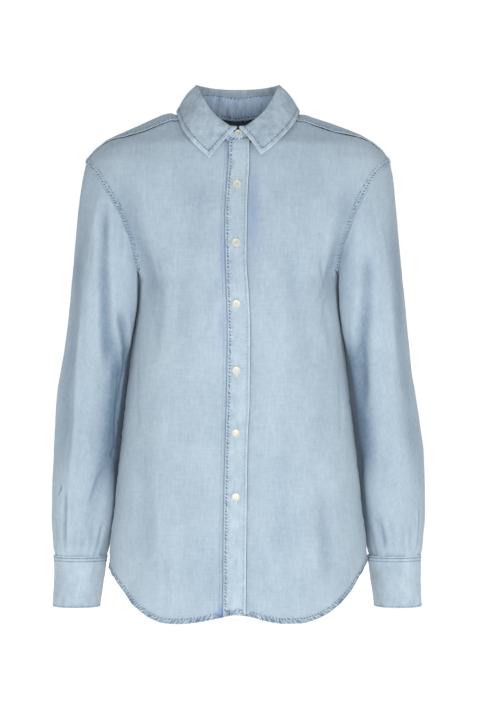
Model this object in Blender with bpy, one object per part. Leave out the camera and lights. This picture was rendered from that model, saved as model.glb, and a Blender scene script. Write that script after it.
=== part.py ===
"""A denim shirt with a classic collar, a buttoned front and long cuffed sleeves.

The cloth is filled out as if worn, with nobody in it. Each piece that is cut and
sewn is one closed wall of cloth. Sizes are in millimetres and the meshes in metres.

X runs to the wearer's left, Y to the back and Z up. The origin is at the height of
the shoulders, in the middle of the neck, where the wearer carries the shirt.

The body is a stack of rounded sections. A panel is laid out flat, as distance
round the body and height, and is wrapped on it. Panels that meet share the points
of their seam and are drawn back from it by half of the gap.
"""

import math

import bmesh
import bpy
import numpy as np
from mathutils import Matrix, Vector

MM = 0.001

# Cloth
CLOTH = 1.2  # one layer
PLACKET_CLOTH = 1.5
STAND_CLOTH = 1.8
LEAF_CLOTH = 1.5
CUFF_CLOTH = 2.2
GAP = 0.3  # between pieces that are sewn together
UNDERLAP = 0.8  # between the two fronts where one buttons over the other

# Body: half sections through the torso, front and back depth from the side seams
ROUNDNESS = 2.5
TORSO_COLUMNS = ("z", "half_width", "front_depth", "back_depth")
TORSO = (
    (6, 20, 15, 55),
    (3.5, 52, 20, 62),
    (1, 66, 24, 67),
    (-4, 90, 33, 72),
    (-8, 114, 41, 75),
    (-19, 143, 57, 80.5),
    (-32, 171, 72, 85),
    (-46, 193, 88, 89.5),
    (-58, 205, 92.5, 92.5),
    (-70, 212.5, 96, 95),
    (-95, 215, 102, 99),
    (-117, 211, 107.5, 101.5),
    (-145, 197, 114, 104.5),
    (-170, 180, 118, 104.8),
    (-200, 158, 123, 103.5),
    (-220, 146, 125, 102.5),
    (-235, 139, 126, 102),
    (-265, 140, 126.5, 100),
    (-310, 145, 126.5, 98),
    (-380, 153, 127, 99.8),
    (-440, 160, 129, 102),
    (-506, 168, 132, 105.5),
    (-555, 172, 134, 108),
    (-600, 178, 136, 110),
    (-640, 180, 138, 112),
    (-725, 182, 140, 115),
)
SHOULDER_Z = -70
ARMPIT_Z = -235

# Neck seam, an oval seen from above
NECK_HALF_WIDTH = 72
NECK_FRONT = 88
NECK_BACK = 72
NECK_SEAM_ANGLE = 62.5  # from the front centre to the end of the yoke

# Armhole between the armpit and the shoulder point, where it crosses the body
ARMHOLE_COLUMNS = ("z", "right_front_x", "left_front_x", "back_x")
ARMHOLE = (
    (-80, 203.5, 200, 206),
    (-93, 193.3, 188, 199),
    (-107, 185.2, 180, 192.5),
    (-120, 178, 173, 186),
    (-137, 169.6, 166, 177.5),
    (-153, 163, 160.5, 170),
    (-170, 157.4, 155.8, 163),
    (-190, 150.2, 149.8, 153.5),
    (-205, 144.7, 145, 147),
    (-221, 139.8, 140.2, 140.5),
)

# Yoke seam across the front of the shoulder, and its height on the back
YOKE_FRONT_COLUMNS = ("x", "z")
YOKE_FRONT = (
    (87.8, -14.5),
    (110, -20.5),
    (131.8, -27.1),
    (152, -31.5),
    (171.6, -36.8),
    (187, -44.2),
    (199.5, -53.4),
)
YOKE_BACK_Z = -85

# Hem, a shirt tail with rounded sides
HEM_COLUMNS = ("x", "right_front_z", "left_front_z", "back_z")
HEM = (
    (-30, -690, -692, -708),
    (0, -690.5, -691.5, -708),
    (20, -694, -694.5, -708),
    (40, -698.5, -700, -708),
    (63, -702.5, -703.2, -708),
    (84, -704.2, -703.2, -705.5),
    (103, -703, -699.5, -701),
    (124, -695.3, -690.5, -690),
    (136, -686.8, -681.5, -681),
    (148, -676, -671, -670),
    (157, -663.5, -661, -660),
    (166, -653, -648, -650),
    (174, -644, -636, -642),
    (180, -637, -628, -637),
)
SIDE_HEM_Z = {"right": -637, "left": -628}

# Placket, in place on the body
PLACKET_COLUMNS = ("z", "sewn_x", "free_x")
PLACKET = (
    (-40, -12.5, 15.5),
    (-72, -13.5, 15.5),
    (-110, -16, 13.5),
    (-149, -18.2, 12.3),
    (-210, -17.4, 11.6),
    (-251, -16.2, 14.3),
    (-305, -14.6, 16.3),
    (-400, -16, 15.8),
    (-454, -17.6, 13.2),
    (-589, -20.3, 11.3),
    (-700, -20.8, 10.3),
)
PLACKET_TOP_Z = -46  # where the placket meets the neck seam
LEFT_EDGE_COVER = 3  # the left front's edge lies this far inside the placket's seam
LEFT_STEP = 4  # and starts to dip under the placket this far outside its free edge
LEFT_RISE = 26

# Sleeve rings, level sections from the shoulder down
SLEEVE_ROUNDNESS = 2.2
SLEEVE_COLUMNS = ("z", "right_outer", "left_outer", "inner", "centre_y", "half_depth")
SLEEVE = (
    (-70, 212.5, 212.5, 128, 0, 62),
    (-95, 218.3, 217, 129, 0, 64),
    (-119, 221.5, 220, 130, 0, 65),
    (-175, 227, 225.5, 134, 1, 65),
    (-231, 232.5, 231, 135, 4, 64),
    (-276, 237, 235.5, 132, 11, 64),
    (-321, 243, 240, 134, 18, 63),
    (-365, 250, 244.5, 141, 23, 62),
    (-388, 254.3, 249, 146, 25, 61),
    (-433, 257.5, 256, 153, 28, 59),
    (-477, 259.5, 262, 160, 29, 57),
    (-533, 262, 263.5, 165, 29, 54),
    (-567, 262, 263, 170, 27, 50),
    (-589, 260.5, 260.5, 176.5, 24.5, 46),
    (-612, 258.8, 257.5, 182.5, 22, 41),
    (-620, 258, 256.5, 184, 22, 39),
)
SLEEVE_END_Z = -619.7
SLEEVE_HEAD = 0.36  # share of a sleeve's length over which it leaves the armhole's shape
SLEEVE_ROOM = 1.6  # between the hanging sleeve and the body
SLEEVE_SOFTNESS = 4  # rounds the line where the body presses the sleeve
SLEEVE_CLEAR = 0.08  # share of a sleeve's length over which it comes clear of the body
SLEEVE_RIM_TURN = 0.5  # how far the wall's rim turns to the body's cloth at the armhole

# Cuff: a band that starts at the back, goes round past the body and ends over itself
CUFF_COLUMNS = ("z", "right_centre_x", "left_centre_x", "centre_y", "half_width", "half_depth")
CUFF = (
    (-620, 221, 219.6, 22, 37.8, 39.6),
    (-655, 223.6, 222, 22, 35.4, 41),
    (-692, 227.2, 225, 22, 33, 42),
)
CUFF_START = -82
CUFF_TURN = 384
CUFF_LAP = 24
CUFF_LAP_RISE = 24
CUFF_BUTTON_ANGLE = -95
CUFF_BUTTON_Z = -656

# Strip over the slit above the cuff, in columns and rows of the sleeve
SLIT_ANGLE = 250
SLIT_COLUMNS = 2
SLIT_ROWS = 5

# Collar stand, by angle round the neck from the front centre
STAND_COLUMNS = ("angle", "height", "lean")
STAND = (
    (0, 14.5, 4.5),
    (30, 17.5, 5.5),
    (60, 24, 10),
    (90, 28, 14),
    (130, 31, 11),
    (180, 32, 9),
)
STAND_END = 12  # the stand's ends pass the front centre by this angle
STAND_RAMP = 16
STAND_LIFT = 0.45  # clear of the neck seam's edge
STAND_CURVE = 1.15  # power of the height by which the stand leans in
STAND_ROWS = 2

# Collar leaf, from the right end round the back to the left end
LEAF_COLUMNS = ("angle", "fold_z", "edge_x", "edge_y", "edge_z")
LEAF = (
    (1.6, -26, -39.1, -99.5, -69.7),
    (9, -24.7, -45.6, -97.5, -63.5),
    (18, -19.3, -51, -95.5, -58.5),
    (28.5, -11.4, -57.5, -93, -52),
    (40.7, -0.7, -68.7, -83.5, -39.3),
    (51, 11.2, -77.8, -66, -25.2),
    (61, 22, -82, -50.5, -15),
    (71.5, 32.4, -84.8, -34, -5.6),
    (81, 37, -86, -17, -1),
    (90, 39.5, -86.3, 0, 1),
    (99, 40, -86, 16, 0.6),
    (108, 40, -84.6, 30, -0.5),
    (118, 40, -79.5, 46, -1.6),
    (129, 39.6, -69.5, 62.5, -3.9),
    (140, 39, -58, 72, -7),
    (160, 38.4, -31, 80, -9.4),
    (180, 38.2, 0, 81.5, -10.5),
    (200, 38.4, 31, 80, -9.4),
    (220, 39, 58, 72, -7),
    (231, 39.6, 69.5, 62.5, -3.9),
    (242, 40, 79.5, 46, -1.6),
    (252, 40, 84.6, 30, -0.5),
    (261, 40, 86, 16, 0.6),
    (270, 39.5, 86.3, 0, 1),
    (279, 37, 85.6, -17, -1),
    (288.5, 32.4, 83.8, -34, -5.4),
    (299, 22, 80.3, -49.5, -14),
    (309, 11.2, 75.3, -62, -22.1),
    (319.3, -0.7, 64.8, -78.5, -35.2),
    (331.5, -11.4, 51.3, -93, -49.3),
    (342, -19.3, 44, -96.5, -56),
    (351, -24.7, 38, -98.5, -60.6),
    (358.2, -26, 31.5, -100, -65.4),
)
LEAF_LIFT = 0.5  # the leaf's first row above the top of the stand
LEAF_CROWN_OUT = 1.25  # how far the leaf bulges out between its fold and its edge
LEAF_CROWN_UP = 2  # and up
LEAF_SHARES = (0.33, 0.67)  # rows of the leaf between the fold and the edge

# Fold of the leaf, an oval seen from above
FOLD_HALF_WIDTH = 57.5
FOLD_FRONT = 85.5
FOLD_BACK = 63
FOLD_ROUND_COLUMNS = ("angle", "width", "drop")
FOLD_ROUND = ((0, 5.5, 1.5), (45, 3.4, 2.8), (180, 3.4, 2.8))
FOLD_INNER_SHARE = 0.55  # of the rise from the stand to the fold
FOLD_INNER_LEAN = 0.4

# Buttons: places seen from the front
BUTTON_PROFILE_COLUMNS = ("radius", "height")
BUTTON_PROFILE = ((0, 0), (5.2, 0), (5.75, 0.8), (5.75, 1.7), (4.7, 2.2), (3.9, 1.7), (0, 1.6))
BUTTON_SIDES = 12
FRONT_BUTTON_COLUMNS = ("x", "z")
FRONT_BUTTONS = ((-1.3, -107), (-2.8, -186.8), (-2.1, -269.5), (-2, -359.9), (-2.7, -444.7), (-3.1, -531.2))
COLLAR_BUTTON = (0.8, -36.2)

# Large folds pressed into the body: ends, depth and half width of a trough
BODY_FOLD_COLUMNS = ("x1", "z1", "x2", "z2", "depth", "half_width")
FRONT_FOLDS = (
    (-172, -72, -150, -214, 5.5, 19),
    (163, -72, 136, -205, 5.5, 18),
    (-113, -165, -116, -350, 5.0, 26),
    (118, -150, 132, -340, 5.5, 24),
    (-60, -130, -86, -360, 2.4, 28),
    (62, -140, 92, -380, 2.8, 28),
    (-130, -430, -120, -655, 4.2, 26),
    (118, -460, 127, -665, 6.0, 24),
    (66, -420, 58, -660, 3.0, 30),
    (-58, -460, -68, -690, 3.0, 28),
)
BACK_FOLDS = (
    (-152, -115, -126, -270, 6.0, 22),
    (152, -115, 126, -270, 6.0, 22),
    (-66, -130, -96, -430, 4.5, 30),
    (72, -150, 92, -460, 4.5, 30),
    (-4, -260, 8, -640, 4.0, 32),
    (-122, -400, -110, -680, 5.0, 28),
    (114, -380, 124, -665, 5.0, 28),
)

# Large folds in the sleeves, by angle round the sleeve: 0 outside, 90 front
SLEEVE_FOLD_COLUMNS = ("angle1", "z1", "angle2", "z2", "depth", "half_width")
SLEEVE_FOLDS = {
    "right": (
        (92, -160, 97, -320, 6.5, 19),
        (40, -120, 30, -340, 4.0, 24),
        (134, -270, 160, -372, 6.0, 18),
        (118, -310, 112, -385, 5.0, 17),
        (152, -345, 147, -462, 8.5, 26),
        (160, -440, 126, -508, 6.0, 16),
        (122, -465, 90, -585, 5.0, 18),
        (42, -495, 52, -617, 6.5, 14),
        (66, -530, 70, -617, 4.0, 12),
        (-70, -190, -105, -360, 6.5, 24),
        (-120, -320, -75, -440, 7.0, 24),
        (-60, -410, -95, -530, 6.0, 22),
        (-30, -470, -50, -600, 4.5, 18),
    ),
    "left": (
        (84, -140, 76, -320, 5.5, 20),
        (42, -350, 36, -500, 6.0, 22),
        (142, -295, 122, -462, 10.0, 28),
        (112, -245, 126, -335, 5.0, 18),
        (100, -470, 86, -608, 4.5, 20),
        (130, -475, 112, -580, 4.5, 17),
        (22, -535, 27, -617, 6.0, 13),
        (58, -560, 61, -617, 4.0, 12),
        (-70, -190, -105, -360, 6.5, 24),
        (-120, -320, -75, -440, 7.0, 24),
        (-60, -410, -95, -530, 6.0, 22),
        (-30, -470, -50, -600, 4.5, 18),
    ),
}

# Cells of the meshes
PLACKET_CELLS = 2
NECK_CELLS = 4
YOKE_CELLS = 8
SIDE_CELLS = 15
ARM_CELLS = 11
BACK_ARM_CELLS = 9
YOKE_ARM_CELLS = 2
SLEEVE_CELLS = 21
CUFF_CELLS = 32
CUFF_ROWS = 2
COLLAR_STEP = 12  # degrees

SIDES = {"right": -1, "left": 1}  # of X

# Working accuracy
TOP_Z = 6
SHOULDERS_BELOW = -110  # the shoulders and the neck seam lie above this height
HALVINGS = 45
RIDGE_STEP = 0.02
LEVEL_STEP = 4
ANGLE_STEPS = 180
LINE_POINTS = 400
NORMAL_STEP = 0.05

# Colours and finish of the materials
DENIM = (0.42, 0.53, 0.63)
DENIM_PALE = (0.5, 0.6, 0.68)
BUTTON_WHITE = (0.86, 0.85, 0.81)
CLOTH_ROUGHNESS = 0.9
BUTTON_ROUGHNESS = 0.3


# --- Curves through the tables


def curve(rows, names, by, of):
    """A curve through two columns of a table that never overshoots its rows."""
    table = sorted((row[names.index(by)], row[names.index(of)]) for row in rows)
    at, value = np.array(table, float).T
    step = np.diff(at)
    slope = np.diff(value) / step
    tangent = np.zeros_like(at)
    same = slope[:-1] * slope[1:] > 0
    tangent[1:-1][same] = 2 / (1 / slope[:-1][same] + 1 / slope[1:][same])
    tangent[0] = slope[0]
    tangent[-1] = slope[-1]

    def read(q):
        q = np.clip(q, at[0], at[-1])
        i = np.clip(np.searchsorted(at, q) - 1, 0, len(step) - 1)
        t = (q - at[i]) / step[i]
        ends = value[i] * (1 + 2 * t) * (1 - t) ** 2 + value[i + 1] * t**2 * (3 - 2 * t)
        return ends + step[i] * t * (1 - t) * (tangent[i] * (1 - t) - tangent[i + 1] * t)

    return read


def ease(t):
    """From 0 to 1 with level ends."""
    t = np.clip(t, 0, 1)
    return t * t * (3 - 2 * t)


half_width = curve(TORSO, TORSO_COLUMNS, "z", "half_width")
front_depth = curve(TORSO, TORSO_COLUMNS, "z", "front_depth")
back_depth = curve(TORSO, TORSO_COLUMNS, "z", "back_depth")
placket_sewn = curve(PLACKET, PLACKET_COLUMNS, "z", "sewn_x")
placket_free = curve(PLACKET, PLACKET_COLUMNS, "z", "free_x")


# --- The surface of the body


def depth_at(z, back):
    return np.where(back, back_depth(z), front_depth(z))


def on_body(x, z, back):
    """The points of the body's surface at places seen from the front or the back."""
    x, z, back = np.broadcast_arrays(np.asarray(x, float), np.asarray(z, float), back)
    room = 1 - np.clip(np.abs(x) / half_width(z), 0, 1) ** ROUNDNESS
    y = np.where(back, 1, -1) * depth_at(z, back) * np.sqrt(np.maximum(room, 0))
    return np.stack([x, y, z], axis=-1)


def fullness(points):
    """1 on the body's surface, less inside and more outside."""
    x, y, z = np.moveaxis(points, -1, 0)
    return (np.abs(x) / half_width(z)) ** ROUNDNESS + (y / depth_at(z, y > 0)) ** 2


def body_normals(points):
    slopes = []
    for axis in np.eye(3) * NORMAL_STEP:
        slopes.append(fullness(points + axis) - fullness(points - axis))
    normal = np.stack(slopes, axis=-1)
    return normal / np.linalg.norm(normal, axis=-1, keepdims=True)


def body_height(x, y):
    """The height of the body's surface over places seen from above the shoulders."""
    x, y = np.broadcast_arrays(np.asarray(x, float), np.asarray(y, float))
    low = np.full(x.shape, float(SHOULDERS_BELOW))
    high = np.full(x.shape, float(TOP_Z))
    for _ in range(HALVINGS):
        middle = (low + high) / 2
        inside = fullness(np.stack([x, y, middle], axis=-1)) < 1
        low = np.where(inside, middle, low)
        high = np.where(inside, high, middle)
    return (low + high) / 2


RIDGE_LEVELS = np.arange(TOP_Z, YOKE_BACK_Z, -RIDGE_STEP)
RIDGE_WIDTHS = half_width(RIDGE_LEVELS)


def ridge_height(x):
    """The height of the shoulder line at a distance from the centre."""
    return np.interp(np.abs(x), RIDGE_WIDTHS, RIDGE_LEVELS)


# --- The body laid out flat: distance round it from the front centre, and height

LEVELS = np.arange(TORSO[-1][0], TOP_Z + LEVEL_STEP, LEVEL_STEP, float)
ANGLES = np.linspace(0, math.pi, ANGLE_STEPS + 1)


def section(z, angle):
    """A point of a level section, from the front centre at 0 to the back centre at pi."""
    x = half_width(z) * np.sin(angle) ** (2 / ROUNDNESS)
    return x, -depth_at(z, angle > math.pi / 2) * np.cos(angle)


def lengths_round():
    """The distance round the body at each level and angle."""
    x, y = section(LEVELS[:, None], ANGLES[None])
    step = np.hypot(np.diff(x), np.diff(y))
    return np.concatenate([np.zeros((len(LEVELS), 1)), np.cumsum(step, axis=1)], axis=1)


ROUND = lengths_round()


def level_share(z):
    place = np.clip((np.asarray(z, float) - LEVELS[0]) / LEVEL_STEP, 0, len(LEVELS) - 1.001)
    level = place.astype(int)
    return level, place - level


def girth_half(z):
    """The distance from the front centre to the back centre."""
    level, more = level_share(z)
    return ROUND[level, -1] * (1 - more) + ROUND[level + 1, -1] * more


def unwrap(points, back=False):
    """Lays points at +X out flat as (distance from the front or back centre, height)."""
    x, y, z = np.moveaxis(points, -1, 0)
    share = np.clip(np.abs(x) / half_width(z), 0, 1)
    angle = np.arcsin(share ** (ROUNDNESS / 2))
    angle = np.where(y > 0, math.pi - angle, angle)
    level, more = level_share(z)
    place = np.clip(angle / ANGLES[1], 0, len(ANGLES) - 1.001)
    k = place.astype(int)
    f = place - k
    low = ROUND[level, k] * (1 - f) + ROUND[level, k + 1] * f
    high = ROUND[level + 1, k] * (1 - f) + ROUND[level + 1, k + 1] * f
    distance = low * (1 - more) + high * more
    return np.stack([girth_half(z) - distance if back else distance, z], axis=-1)


def wrap(flat, back=False):
    """Wraps laid-out points on the body."""
    away, z = np.moveaxis(flat, -1, 0)
    if back:
        away = girth_half(z) - away
    level, more = level_share(z)
    low = np.zeros(level.shape, int)
    high = np.full(level.shape, len(ANGLES) - 1)

    def reach(k):
        return ROUND[level, k] * (1 - more) + ROUND[level + 1, k] * more

    for _ in range(8):
        middle = (low + high) // 2
        below = reach(middle) <= away
        low = np.where(below, middle, low)
        high = np.where(below, high, middle)
    f = np.clip((away - reach(low)) / np.maximum(reach(high) - reach(low), 1e-9), 0, 1)
    x, y = section(z, (low + f * (high - low)) * ANGLES[1])
    return np.stack([x, y, z], axis=-1)


# --- Seams and edges. Each is a line of points on the body, for the half at +X.


def resampled(line, shares):
    """Points at given shares of a line's length."""
    length = np.r_[0, np.cumsum(np.linalg.norm(np.diff(line, axis=0), axis=1))]
    return np.stack([np.interp(np.array(shares) * length[-1], length, axis) for axis in line.T], axis=-1)


def armhole_line(column):
    """A dense line from the armpit to the shoulder point."""
    ends = [(z, float(half_width(z))) for z in (SHOULDER_Z, ARMPIT_Z)]
    rows = [(row[0], row[ARMHOLE_COLUMNS.index(column)]) for row in ARMHOLE] + ends
    across = curve(rows, ("z", "x"), "z", "x")
    turn = np.linspace(0, math.pi, LINE_POINTS)
    z = ARMPIT_Z + (SHOULDER_Z - ARMPIT_Z) * (1 - np.cos(turn)) / 2
    return on_body(np.minimum(across(z), half_width(z)), z, column == "back_x")


def front_armhole(side):
    return resampled(armhole_line(side + "_front_x"), np.linspace(0, 1, ARM_CELLS + 1))


def back_armhole():
    """From the armpit up to the yoke, and on over the yoke to the shoulder point."""
    line = armhole_line("back_x")
    length = np.r_[0, np.cumsum(np.linalg.norm(np.diff(line, axis=0), axis=1))]
    yoke = np.interp(YOKE_BACK_Z, line[:, 2], length) / length[-1]
    shares = np.r_[np.linspace(0, yoke, BACK_ARM_CELLS + 1), np.linspace(yoke, 1, YOKE_ARM_CELLS + 1)[1:]]
    points = resampled(line, shares)
    return points, shares


def neck_points(angles):
    """Points of the neck seam, by angle from the front centre in degrees."""
    turn = np.radians(angles)
    x = NECK_HALF_WIDTH * np.sin(turn)
    y = -np.where(np.cos(turn) > 0, NECK_FRONT, NECK_BACK) * np.cos(turn)
    return np.stack([x, y, body_height(x, y)], axis=-1)


def neck_angle(x):
    return math.degrees(math.asin(x / NECK_HALF_WIDTH))


def yoke_front_seam():
    """From the neck to the shoulder point."""
    start = neck_points([NECK_SEAM_ANGLE])[0]
    rows = [(start[0], start[2]), *YOKE_FRONT, (float(half_width(SHOULDER_Z)), SHOULDER_Z)]
    drop = curve(rows, YOKE_FRONT_COLUMNS, "x", "z")
    x = start[0] + (rows[-1][0] - start[0]) * np.sin(np.linspace(0, math.pi / 2, LINE_POINTS))
    z = np.minimum(drop(x), ridge_height(x))
    line = on_body(x, z, False)
    line[0] = start
    line[-1] = (rows[-1][0], 0, SHOULDER_Z)
    return resampled(line, np.linspace(0, 1, YOKE_CELLS + 1))


def yoke_back_seam():
    """From the back centre to the armhole."""
    end = back_armhole()[0][BACK_ARM_CELLS]
    line = on_body(np.linspace(0, end[0], LINE_POINTS), YOKE_BACK_Z, True)
    line[-1] = end
    return resampled(line, np.linspace(0, 1, YOKE_CELLS + 1))


def side_seam(side):
    """From the hem to the armpit."""
    z = np.linspace(SIDE_HEM_Z[side], ARMPIT_Z, SIDE_CELLS + 1)
    return np.stack([half_width(z), 0 * z, z], axis=-1)


def hem_line(x, column, side):
    rows = [(row[0], row[HEM_COLUMNS.index(column)]) for row in HEM[:-1]]
    rows.append((float(half_width(SIDE_HEM_Z[side])), SIDE_HEM_Z[side]))
    drop = curve(rows, ("x", "z"), "x", "z")
    return on_body(np.minimum(x, rows[-1][0]), drop(x), column == "back_z")


# --- Sheets of points


def fill(left, right, bottom, top, across, up):
    """Points inside four edge lines, with the shares of their columns and rows."""
    s = np.array(across)[None, :, None]
    t = np.array(up)[:, None, None]
    between = (1 - s) * left[:, None] + s * right[:, None] + (1 - t) * bottom[None] + t * top[None]
    corners = (1 - s) * ((1 - t) * left[0] + t * left[-1]) + s * ((1 - t) * right[0] + t * right[-1])
    return between - corners


def shares_of(line):
    length = np.r_[0, np.cumsum(np.linalg.norm(np.diff(line, axis=0), axis=1))]
    return length / length[-1]


def drawn_back(points, normals, closed=False):
    """Moves the edges of a sheet in by half of the gap between pieces."""
    moved = points.copy()
    edges = [(np.s_[0], np.s_[1]), (np.s_[-1], np.s_[-2])]
    if not closed:
        edges += [(np.s_[:, 0], np.s_[:, 1]), (np.s_[:, -1], np.s_[:, -2])]
    for edge, inner in edges:
        line = points[edge]
        if closed:
            along = np.roll(line, -1, axis=0) - np.roll(line, 1, axis=0)
        else:
            along = np.gradient(line, axis=0)
        inward = np.cross(normals[edge], along)
        inward /= np.linalg.norm(inward, axis=-1, keepdims=True)
        right_way = np.sign(np.sum(inward * (points[inner] - line), axis=-1, keepdims=True))
        moved[edge] += inward * right_way * GAP / 2
    return moved


def sheet_normals(points, closed=False):
    """Normals of a sheet from its neighbouring points."""
    if closed:
        across = np.roll(points, -1, axis=1) - np.roll(points, 1, axis=1)
    else:
        across = np.gradient(points, axis=1)
    normal = np.cross(np.gradient(points, axis=0), across)
    return normal / np.linalg.norm(normal, axis=-1, keepdims=True)


def pressed(points, folds):
    """How deep the folds press each point in."""
    total = np.zeros(points.shape[:-1])
    for start, end, depth, reach in folds:
        along = end - start
        share = np.clip((points - start) @ along / (along @ along), 0, 1)
        away = np.linalg.norm(points - (start + share[..., None] * along), axis=-1)
        taper = np.sqrt(np.maximum(4 * share * (1 - share), 0))
        total += depth * taper * (1 - np.clip(away / reach, 0, 1) ** 2) ** 2
    return total


def body_folds(rows, back):
    folds = []
    for row in rows:
        fold = dict(zip(BODY_FOLD_COLUMNS, row))
        start = on_body(fold["x1"], fold["z1"], back)
        end = on_body(fold["x2"], fold["z2"], back)
        folds.append((start, end, fold["depth"], fold["half_width"]))
    return folds


BODY_FOLDS = body_folds(FRONT_FOLDS, False) + body_folds(BACK_FOLDS, True)


def creased(points, lift=0.0):
    """The cloth over places of the body, with its folds, and the body's normals."""
    normals = body_normals(points)
    return points + normals * (lift - pressed(points, BODY_FOLDS))[..., None], normals


def on_side(points, side):
    return points * np.array([SIDES[side], 1, 1])


# --- Making the pieces


def material(name, colour, roughness):
    made = bpy.data.materials.new(name)
    made.use_nodes = True
    shader = made.node_tree.nodes["Principled BSDF"]
    shader.inputs["Base Color"].default_value = (*colour, 1)
    shader.inputs["Roughness"].default_value = roughness
    shader.inputs["Metallic"].default_value = 0
    made.diffuse_color = (*colour, 1)
    return made


def finish(name, bm, colour, roughness):
    bmesh.ops.recalc_face_normals(bm, faces=bm.faces)
    mesh = bpy.data.meshes.new(name)
    bm.to_mesh(mesh)
    bm.free()
    mesh.shade_smooth()
    mesh.set_sharp_from_angle(angle=math.radians(50))
    mesh.materials.append(material(name, colour, roughness))
    piece = bpy.data.objects.new(name, mesh)
    bpy.context.collection.objects.link(piece)
    return piece


def wall(name, outer, normals, thickness, colour=DENIM, closed=False):
    """A piece of cloth between a sheet of points and the same sheet moved in."""
    bm = bmesh.new()
    rows, columns = outer.shape[:2]
    layers = []
    for sheet in (outer, outer - normals * np.asarray(thickness)[..., None]):
        layers.append([[bm.verts.new(point) for point in row] for row in sheet * MM])

    def quad(a, b, c, d):
        bm.faces.new((a, b, c))
        bm.faces.new((a, c, d))

    last = columns if closed else columns - 1
    for layer in layers:
        for i in range(rows - 1):
            for j in range(last):
                k = (j + 1) % columns
                corners = layer[i][j], layer[i][k], layer[i + 1][k], layer[i + 1][j]
                quad(*(corners if layer is layers[0] else (corners[2], corners[1], corners[0], corners[3])))
    first, second = layers
    for i in (0, rows - 1):
        for j in range(last):
            k = (j + 1) % columns
            quad(first[i][j], first[i][k], second[i][k], second[i][j])
    if not closed:
        for j in (0, columns - 1):
            for i in range(rows - 1):
                quad(first[i][j], first[i + 1][j], second[i + 1][j], second[i][j])
    return finish(name, bm, colour, CLOTH_ROUGHNESS)


# --- Fronts, placket, back and yoke


def front_edges(side):
    """The line where a front's plain cloth begins and its free edge, as x at a height."""
    if side == "right":
        return lambda z: -placket_sewn(z), lambda z: -placket_free(z)
    return lambda z: placket_free(z) + LEFT_STEP, lambda z: placket_sewn(z) + LEFT_EDGE_COVER


def front_sheet(side):
    """Points of a front on the body at +X, from its free edge to the side seam."""
    line, edge = front_edges(side)
    column = side + "_front_z"
    hem_x = float(line(HEM[1][1]))
    hem_z = float(hem_line(hem_x, column, side)[2])
    neck = neck_points(np.linspace(neck_angle(float(line(PLACKET_TOP_Z))), NECK_SEAM_ANGLE, NECK_CELLS + 1))
    top = np.concatenate([neck, yoke_front_seam()[1:]])
    right = np.concatenate([side_seam(side), front_armhole(side)[1:]])
    up = shares_of(right)
    z = hem_z + (neck[0, 2] - hem_z) * up
    left = on_body(line(z), z, False)
    left[-1] = top[0]
    across = shares_of(top)
    hem = hem_line(np.linspace(left[0, 0], right[0, 0], LINE_POINTS), column, side)
    bottom = resampled(hem, across)
    bottom[0] = left[0]
    bottom[-1] = right[0]
    points = wrap(fill(unwrap(left), unwrap(right), unwrap(bottom), unwrap(top), across, up))
    points[:, 0] = left
    points[:, -1] = right
    points[0] = bottom
    points[-1] = top
    strips = []
    for share in np.linspace(1, 0, PLACKET_CELLS + 1)[:-1]:
        low_x = (1 - share) * line(hem_z) + share * edge(hem_z)
        high_x = (1 - share) * line(neck[0, 2]) + share * edge(neck[0, 2])
        low = float(hem_line(low_x, column, side)[2])
        high = float(neck_points([neck_angle(float(high_x))])[0, 2])
        z = low + (high - low) * up
        strips.append(on_body((1 - share) * line(z) + share * edge(z), z, False))
    return np.concatenate([np.stack(strips, axis=1), points], axis=1)


def front(side):
    points = front_sheet(side)
    lift = np.zeros(points.shape[:2])
    if side == "left":
        inside = points[..., 0] - front_edges(side)[0](points[..., 2])
        lift -= (CLOTH + UNDERLAP) * (1 - ease(inside / LEFT_RISE))
    sheet, normals = creased(on_side(points, side), lift)
    wall("front_" + side, drawn_back(sheet, normals), normals, CLOTH)


def placket():
    points = on_side(front_sheet("right")[:, : PLACKET_CELLS + 1], "right")
    sheet, normals = creased(points, GAP + PLACKET_CLOTH)
    wall("front_placket", drawn_back(sheet, normals), normals, PLACKET_CLOTH, DENIM_PALE)


def back_half(side):
    """Points of half the back at +X, from the centre to the side seam."""
    top = yoke_back_seam()
    right = np.concatenate([side_seam(side), back_armhole()[0][1 : BACK_ARM_CELLS + 1]])
    hem_z = HEM[1][3]
    up = shares_of(right)
    left = on_body(0, hem_z + (YOKE_BACK_Z - hem_z) * up, True)
    across = shares_of(top)
    bottom = resampled(hem_line(np.linspace(0, right[0, 0], LINE_POINTS), "back_z", side), across)
    bottom[-1] = right[0]
    edges = [unwrap(edge, back=True) for edge in (left, right, bottom, top)]
    points = wrap(fill(*edges, across, up), back=True)
    points[:, 0] = left
    points[:, -1] = right
    points[0] = bottom
    points[-1] = top
    return points


def back():
    halves = [on_side(back_half(side), side) for side in ("right", "left")]
    points = np.concatenate([halves[0][:, ::-1], halves[1][:, 1:]], axis=1)
    sheet, normals = creased(points)
    wall("back", drawn_back(sheet, normals), normals, CLOTH)


def over_shoulder(points):
    """Lays points near the shoulder line out flat as (x, distance before or behind it)."""
    x, y, z = np.moveaxis(points, -1, 0)
    away = np.sqrt(np.maximum(ridge_height(x) - z, 0))
    return np.stack([x, np.where(y > 0, away, -away)], axis=-1)


def from_over_shoulder(flat):
    x, away = np.moveaxis(flat, -1, 0)
    return on_body(x, ridge_height(x) - away**2, away > 0)


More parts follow.
